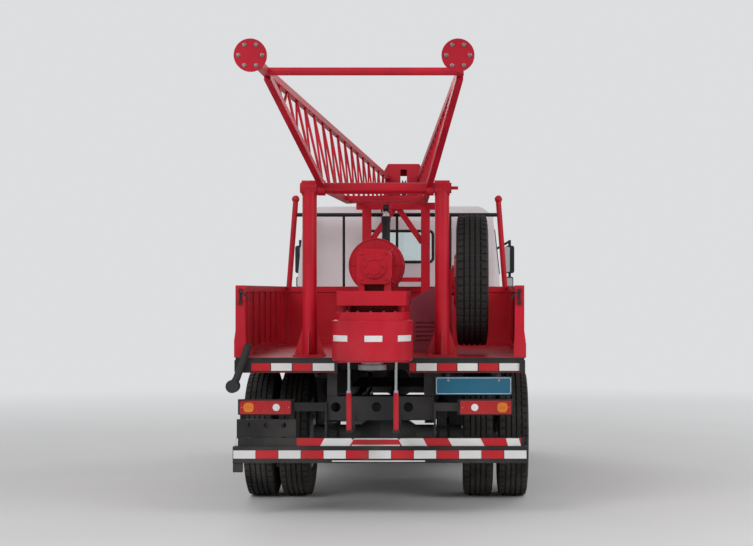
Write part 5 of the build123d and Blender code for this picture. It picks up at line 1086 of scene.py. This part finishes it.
class RIG_OT_chassis_trim(bpy.types.Operator):
    """Tank straps and cap, bands of the air reservoirs, box latches and spring clamps."""

    bl_idname = "rig.chassis_trim"
    bl_label = "Chassis trim"

    def execute(self, context):
        meshes = collect(CHASSIS)
        collect(CHASSIS_PAIRS, ENDS, 0.0, meshes)
        for y in TANK_STRAPS_Y:
            self.strap(meshes["tank_straps"], y)
        for way in spokes(Z, CAP_GRIPS):
            foot = spot(*CAP_AT) + CAP_GRIP_FROM * Z + CAP_R * way
            rod(meshes["fuel_cap"], foot, foot + CAP_GRIP_H * Z, CAP_GRIP_R, HEXAGON)
        show(meshes, "truck", tank_straps="steel", fuel_cap="black_plastic",
             spring_clamps="black_frame")
        return {"FINISHED"}

    def strap(self, mesh, y):
        """A flat band round the fuel tank."""
        centre = spot(TANK_MIDDLE[0], y, TANK_MIDDLE[1])
        across = Y * STRAP_HALF_W
        rings = []
        for point in rounded([spot(x, y, z) for x, z in TANK], TANK_CORNER, TANK_STEPS):
            out = (point - centre).normalized() * STRAP_HALF_T
            rings.append([point - out - across, point + out - across, point + out + across,
                          point - out + across])
        loft(mesh, rings, looped=True)


SEAT_X, SEAT_BASE_HALF = 0.585, 0.175
SEAT_BASE_Y, SEAT_BASE_Z = (3.55, 3.91), (1.054, 1.333)
# Pads of a seat: centre's y and z, size, lean in degrees
PADS = (
    ((3.740, 1.389), (0.416, 0.486, 0.116), 0.0),
    ((3.516, 1.742), (0.416, 0.112, 0.570), 8.8),
)
PAD_VOXEL, PAD_PRESSURE, PAD_FRAMES, PAD_SWELL, PAD_ROUND = 0.009, 4.0, 20, 0.012, 0.020
CHANNELS, CHANNEL_PITCH, CHANNEL_DEPTH, CHANNEL_WIDTH = 3, 0.105, 0.0075, 0.008
# The seam's distance from a pad's edge, and the share of its half thickness that stays unsewn
PIPING_INSET, UNSEWN, PAD_FILL = 0.032, 0.55, 0.8


def swell(name, size):
    """A pad of that size blown up as cloth, as a mesh about its own centre."""
    mesh = bmesh.new()
    made = bmesh.ops.create_cube(mesh, size=1.0)["verts"]
    bmesh.ops.scale(mesh, vec=Vector(size), verts=made)
    bmesh.ops.bevel(mesh, geom=mesh.edges[:], offset=PAD_ROUND, segments=3, affect="EDGES",
                    profile=0.5)
    data = bpy.data.meshes.new(name)
    mesh.to_mesh(data)
    mesh.free()
    pad = bpy.data.objects.new(name, data)
    scene = bpy.context.scene
    scene.collection.objects.link(pad)
    voxels = pad.modifiers.new("voxels", "REMESH")
    voxels.mode = "VOXEL"
    voxels.voxel_size = PAD_VOXEL
    start = evaluated(pad)
    cloth = pad.modifiers.new("cloth", "CLOTH").settings
    cloth.use_pressure = True
    cloth.uniform_pressure_force = PAD_PRESSURE
    cloth.effector_weights.gravity = 0.0
    for frame_number in range(1, PAD_FRAMES + 1):
        scene.frame_set(frame_number)
    blown = evaluated(pad)
    for before, after in zip(start.vertices, blown.vertices):
        move = after.co - before.co
        if move.length > PAD_SWELL:
            move *= PAD_SWELL / move.length
        before.co += move
    bpy.data.meshes.remove(blown)
    scene.frame_set(1)
    pad.modifiers.clear()
    pad.data = start
    pad.modifiers.new("smooth", "SUBSURF").levels = 1
    smooth = evaluated(pad)
    bpy.data.objects.remove(pad)
    return smooth


def evaluated(made):
    """A new mesh with what the object's modifiers make of it."""
    bpy.context.view_layer.update()
    shown = made.evaluated_get(bpy.context.evaluated_depsgraph_get())
    return bpy.data.meshes.new_from_object(shown)


class RIG_OT_seats(bpy.types.Operator):
    """Two padded seats with sewn channels."""

    bl_idname = "rig.seats"
    bl_label = "Seats"

    def execute(self, context):
        forms = []
        for (y, z), size, lean in PADS:
            form = swell("pad", size)
            self.sew(form, size)
            form.transform(Matrix.Translation(spot(0, y, z)) @ Matrix.Rotation(
                radians(lean), 4, "X"))
            forms.append(form)
        base = bmesh.new()
        for name, side in SIDES:
            mesh = bmesh.new()
            for form in forms:
                mesh.from_mesh(form)
            x = side * SEAT_X
            bmesh.ops.translate(mesh, vec=Vector((x, 0, 0)), verts=mesh.verts)
            pads = piece(f"seat_pads_{name}", mesh, "truck", "seat_cloth", ("seats",), smooth=SOFT)
            block(base, (x - SEAT_BASE_HALF, x + SEAT_BASE_HALF), SEAT_BASE_Y, SEAT_BASE_Z)
        piece("seat_bases", base, "truck", "black_plastic", ("seats",), edge=BASE_EDGE)
        return {"FINISHED"}

    def sew(self, form, size):
        """Channels along the middle of a pad and a seam round its broad faces."""
        thin = 1 if size[1] < size[2] else 2
        long = 3 - thin
        half = [side / 2 for side in size]
        for vert in form.vertices:
            p = vert.co
            inset = min(half[0] - abs(p.x), half[long] - abs(p[long]))
            if abs(p[thin]) < half[thin] * UNSEWN or inset < 0:
                continue
            dip = exp(-((inset - PIPING_INSET) / CHANNEL_WIDTH) ** 2)
            if inset > PIPING_INSET:
                for i in range(CHANNELS):
                    at = (i - (CHANNELS - 1) / 2) * CHANNEL_PITCH
                    dip = max(dip, exp(-((p.x - at) / CHANNEL_WIDTH) ** 2))
            p[thin] -= dip * CHANNEL_DEPTH * (1 if p[thin] > 0 else -1)


# Stage

CAMERA_AT = (0.58, -11.30, 1.60)
FRAME_PX = (753, 546)
FOCUS_PX, CENTRE_PX = 1600.0, (462.0, 291.0)
SENSOR = 36.0
# Soft lamps: place, size, power in watts
LIGHTS = (
    ((-5.5, -9.5, 7.6), 6.0, 480.0),
    ((7.0, -6.5, 5.4), 5.0, 275.0),
    ((-4.0, 9.5, 7.0), 6.0, 190.0),
    ((6.0, 8.0, 5.4), 5.0, 130.0),
)
LAMPS_AIM = Vector((0, 0, 1.2))
SKY_COLOUR, SKY_STRENGTH = (1.0, 0.99, 0.97, 1), 0.45
# The floor is lit near the rig and fades into the backdrop between two distances
FLOOR_R, FLOOR_ROUGH, FLOOR_SHADE, FLOOR_FADE = 90.0, 0.75, 0.97, (5.0, 14.0)


class RIG_OT_stage(bpy.types.Operator):
    """Floor, soft lamps, pale surroundings and the camera."""

    bl_idname = "rig.stage"
    bl_label = "Stage"

    def execute(self, context):
        scene = context.scene
        scene.view_settings.view_transform = "Standard"
        self.camera(scene)
        pale = (*colours().floor, 1)
        self.surroundings(scene, pale)
        self.floor(scene, pale)
        for place, size, power in LIGHTS:
            lamp = bpy.data.lights.new("soft lamp", "AREA")
            lamp.shape = "DISK"
            lamp.size = size
            lamp.energy = power
            holder = bpy.data.objects.new("soft lamp", lamp)
            holder.location = place
            aim = (LAMPS_AIM - Vector(place)).to_track_quat("-Z", "Y")
            holder.rotation_euler = aim.to_euler()
            scene.collection.objects.link(holder)
        return {"FINISHED"}

    def camera(self, scene):
        lens = bpy.data.cameras.new("camera")
        lens.sensor_width = SENSOR
        lens.lens = FOCUS_PX / FRAME_PX[0] * SENSOR
        lens.shift_x = (FRAME_PX[0] / 2 - CENTRE_PX[0]) / FRAME_PX[0]
        lens.shift_y = (CENTRE_PX[1] - FRAME_PX[1] / 2) / FRAME_PX[0]
        holder = bpy.data.objects.new("camera", lens)
        holder.location = spot(*CAMERA_AT)
        holder.rotation_euler = (pi / 2, 0, 0)
        scene.collection.objects.link(holder)
        scene.camera = holder

    def surroundings(self, scene, pale):
        """Soft light from all round; what is seen there is the pale backdrop."""
        world = bpy.data.worlds.new("studio")
        scene.world = world
        world.use_nodes = True
        tree = world.node_tree
        tree.nodes.clear()
        light = add_node(tree, "Background", {"Color": SKY_COLOUR, "Strength": SKY_STRENGTH})
        seen = add_node(tree, "Background", {"Color": pale, "Strength": 1.0})
        rays = add_node(tree, "LightPath").outputs
        shown = add_node(tree, "Math", {0: rays["Is Camera Ray"], 1: rays["Is Transmission Ray"]},
                         operation="MAXIMUM").outputs[0]
        mixed = add_node(tree, "MixShader", {0: shown, 1: light.outputs[0], 2: seen.outputs[0]})
        end = add_node(tree, "OutputWorld")
        tree.links.new(mixed.outputs[0], end.inputs[0])

    def floor(self, scene, pale):
        mesh = bmesh.new()
        bmesh.ops.create_circle(mesh, cap_ends=True, radius=FLOOR_R, segments=FLOOR_STEPS)
        data = bpy.data.meshes.new("floor")
        mesh.to_mesh(data)
        mesh.free()
        ground = bpy.data.objects.new("floor", data)
        scene.collection.objects.link(ground)
        material, tree, shader, place = blank_material("floor")
        shade = (*[c * FLOOR_SHADE for c in pale[:3]], 1)
        mottle = mix_colour(tree, patchy(tree, place, FLOOR_NOISE), shade, pale)
        tree.links.new(mottle, shader.inputs["Base Color"])
        shader.inputs["Roughness"].default_value = FLOOR_ROUGH
        far = add_node(tree, "Emission", {"Color": pale, "Strength": 1.0})
        distance = add_node(tree, "VectorMath", {0: place}, operation="LENGTH").outputs["Value"]
        share = add_node(tree, "MapRange", {0: distance, 1: FLOOR_FADE[0], 2: FLOOR_FADE[1]},
                         interpolation_type="SMOOTHSTEP").outputs[0]
        shown = add_node(tree, "LightPath").outputs["Is Camera Ray"]
        mixed = add_node(tree, "MixShader", {
            0: multiply(tree, share, shown), 1: shader.outputs[0], 2: far.outputs[0]})
        tree.links.new(mixed.outputs[0], tree.nodes["Material Output"].inputs["Surface"])
        data.materials.append(material)


OPERATORS = (
    RIG_OT_paint, RIG_OT_tyres, RIG_OT_wheel_trim, RIG_OT_strips, RIG_OT_tail_lamps,
    RIG_OT_rear_fittings, RIG_OT_rig_bolts, RIG_OT_winch_trim, RIG_OT_cab_seals,
    RIG_OT_cab_fittings, RIG_OT_cab_corners, RIG_OT_head_lamps, RIG_OT_chassis_trim,
    RIG_OT_seats, RIG_OT_stage,
)


class RIG_PT_panel(bpy.types.Panel):
    """The rig's sizes, colours and steps in the sidebar."""

    bl_idname = "RIG_PT_panel"
    bl_label = "Drilling rig"
    bl_space_type = "VIEW_3D"
    bl_region_type = "UI"
    bl_category = "Drilling rig"

    def draw(self, context):
        for group in (context.scene.rig_sizes, context.scene.rig_colours):
            for name in group.bl_rna.properties.keys():
                if name not in ("rna_type", "name"):
                    self.layout.prop(group, name)
        for operator in OPERATORS:
            self.layout.operator(operator.bl_idname)


CLASSES = (RigColours, RigSizes, *OPERATORS, RIG_PT_panel)


def register():
    for each in CLASSES:
        bpy.utils.register_class(each)
    bpy.types.Scene.rig_colours = PointerProperty(type=RigColours)
    bpy.types.Scene.rig_sizes = PointerProperty(type=RigSizes)


def unregister():
    del bpy.types.Scene.rig_sizes
    del bpy.types.Scene.rig_colours
    for each in reversed(CLASSES):
        bpy.utils.unregister_class(each)


def main():
    register()
    for operator in OPERATORS:
        getattr(bpy.ops.rig, operator.bl_idname.split(".")[1])()


if __name__ == "__main__":
    main()
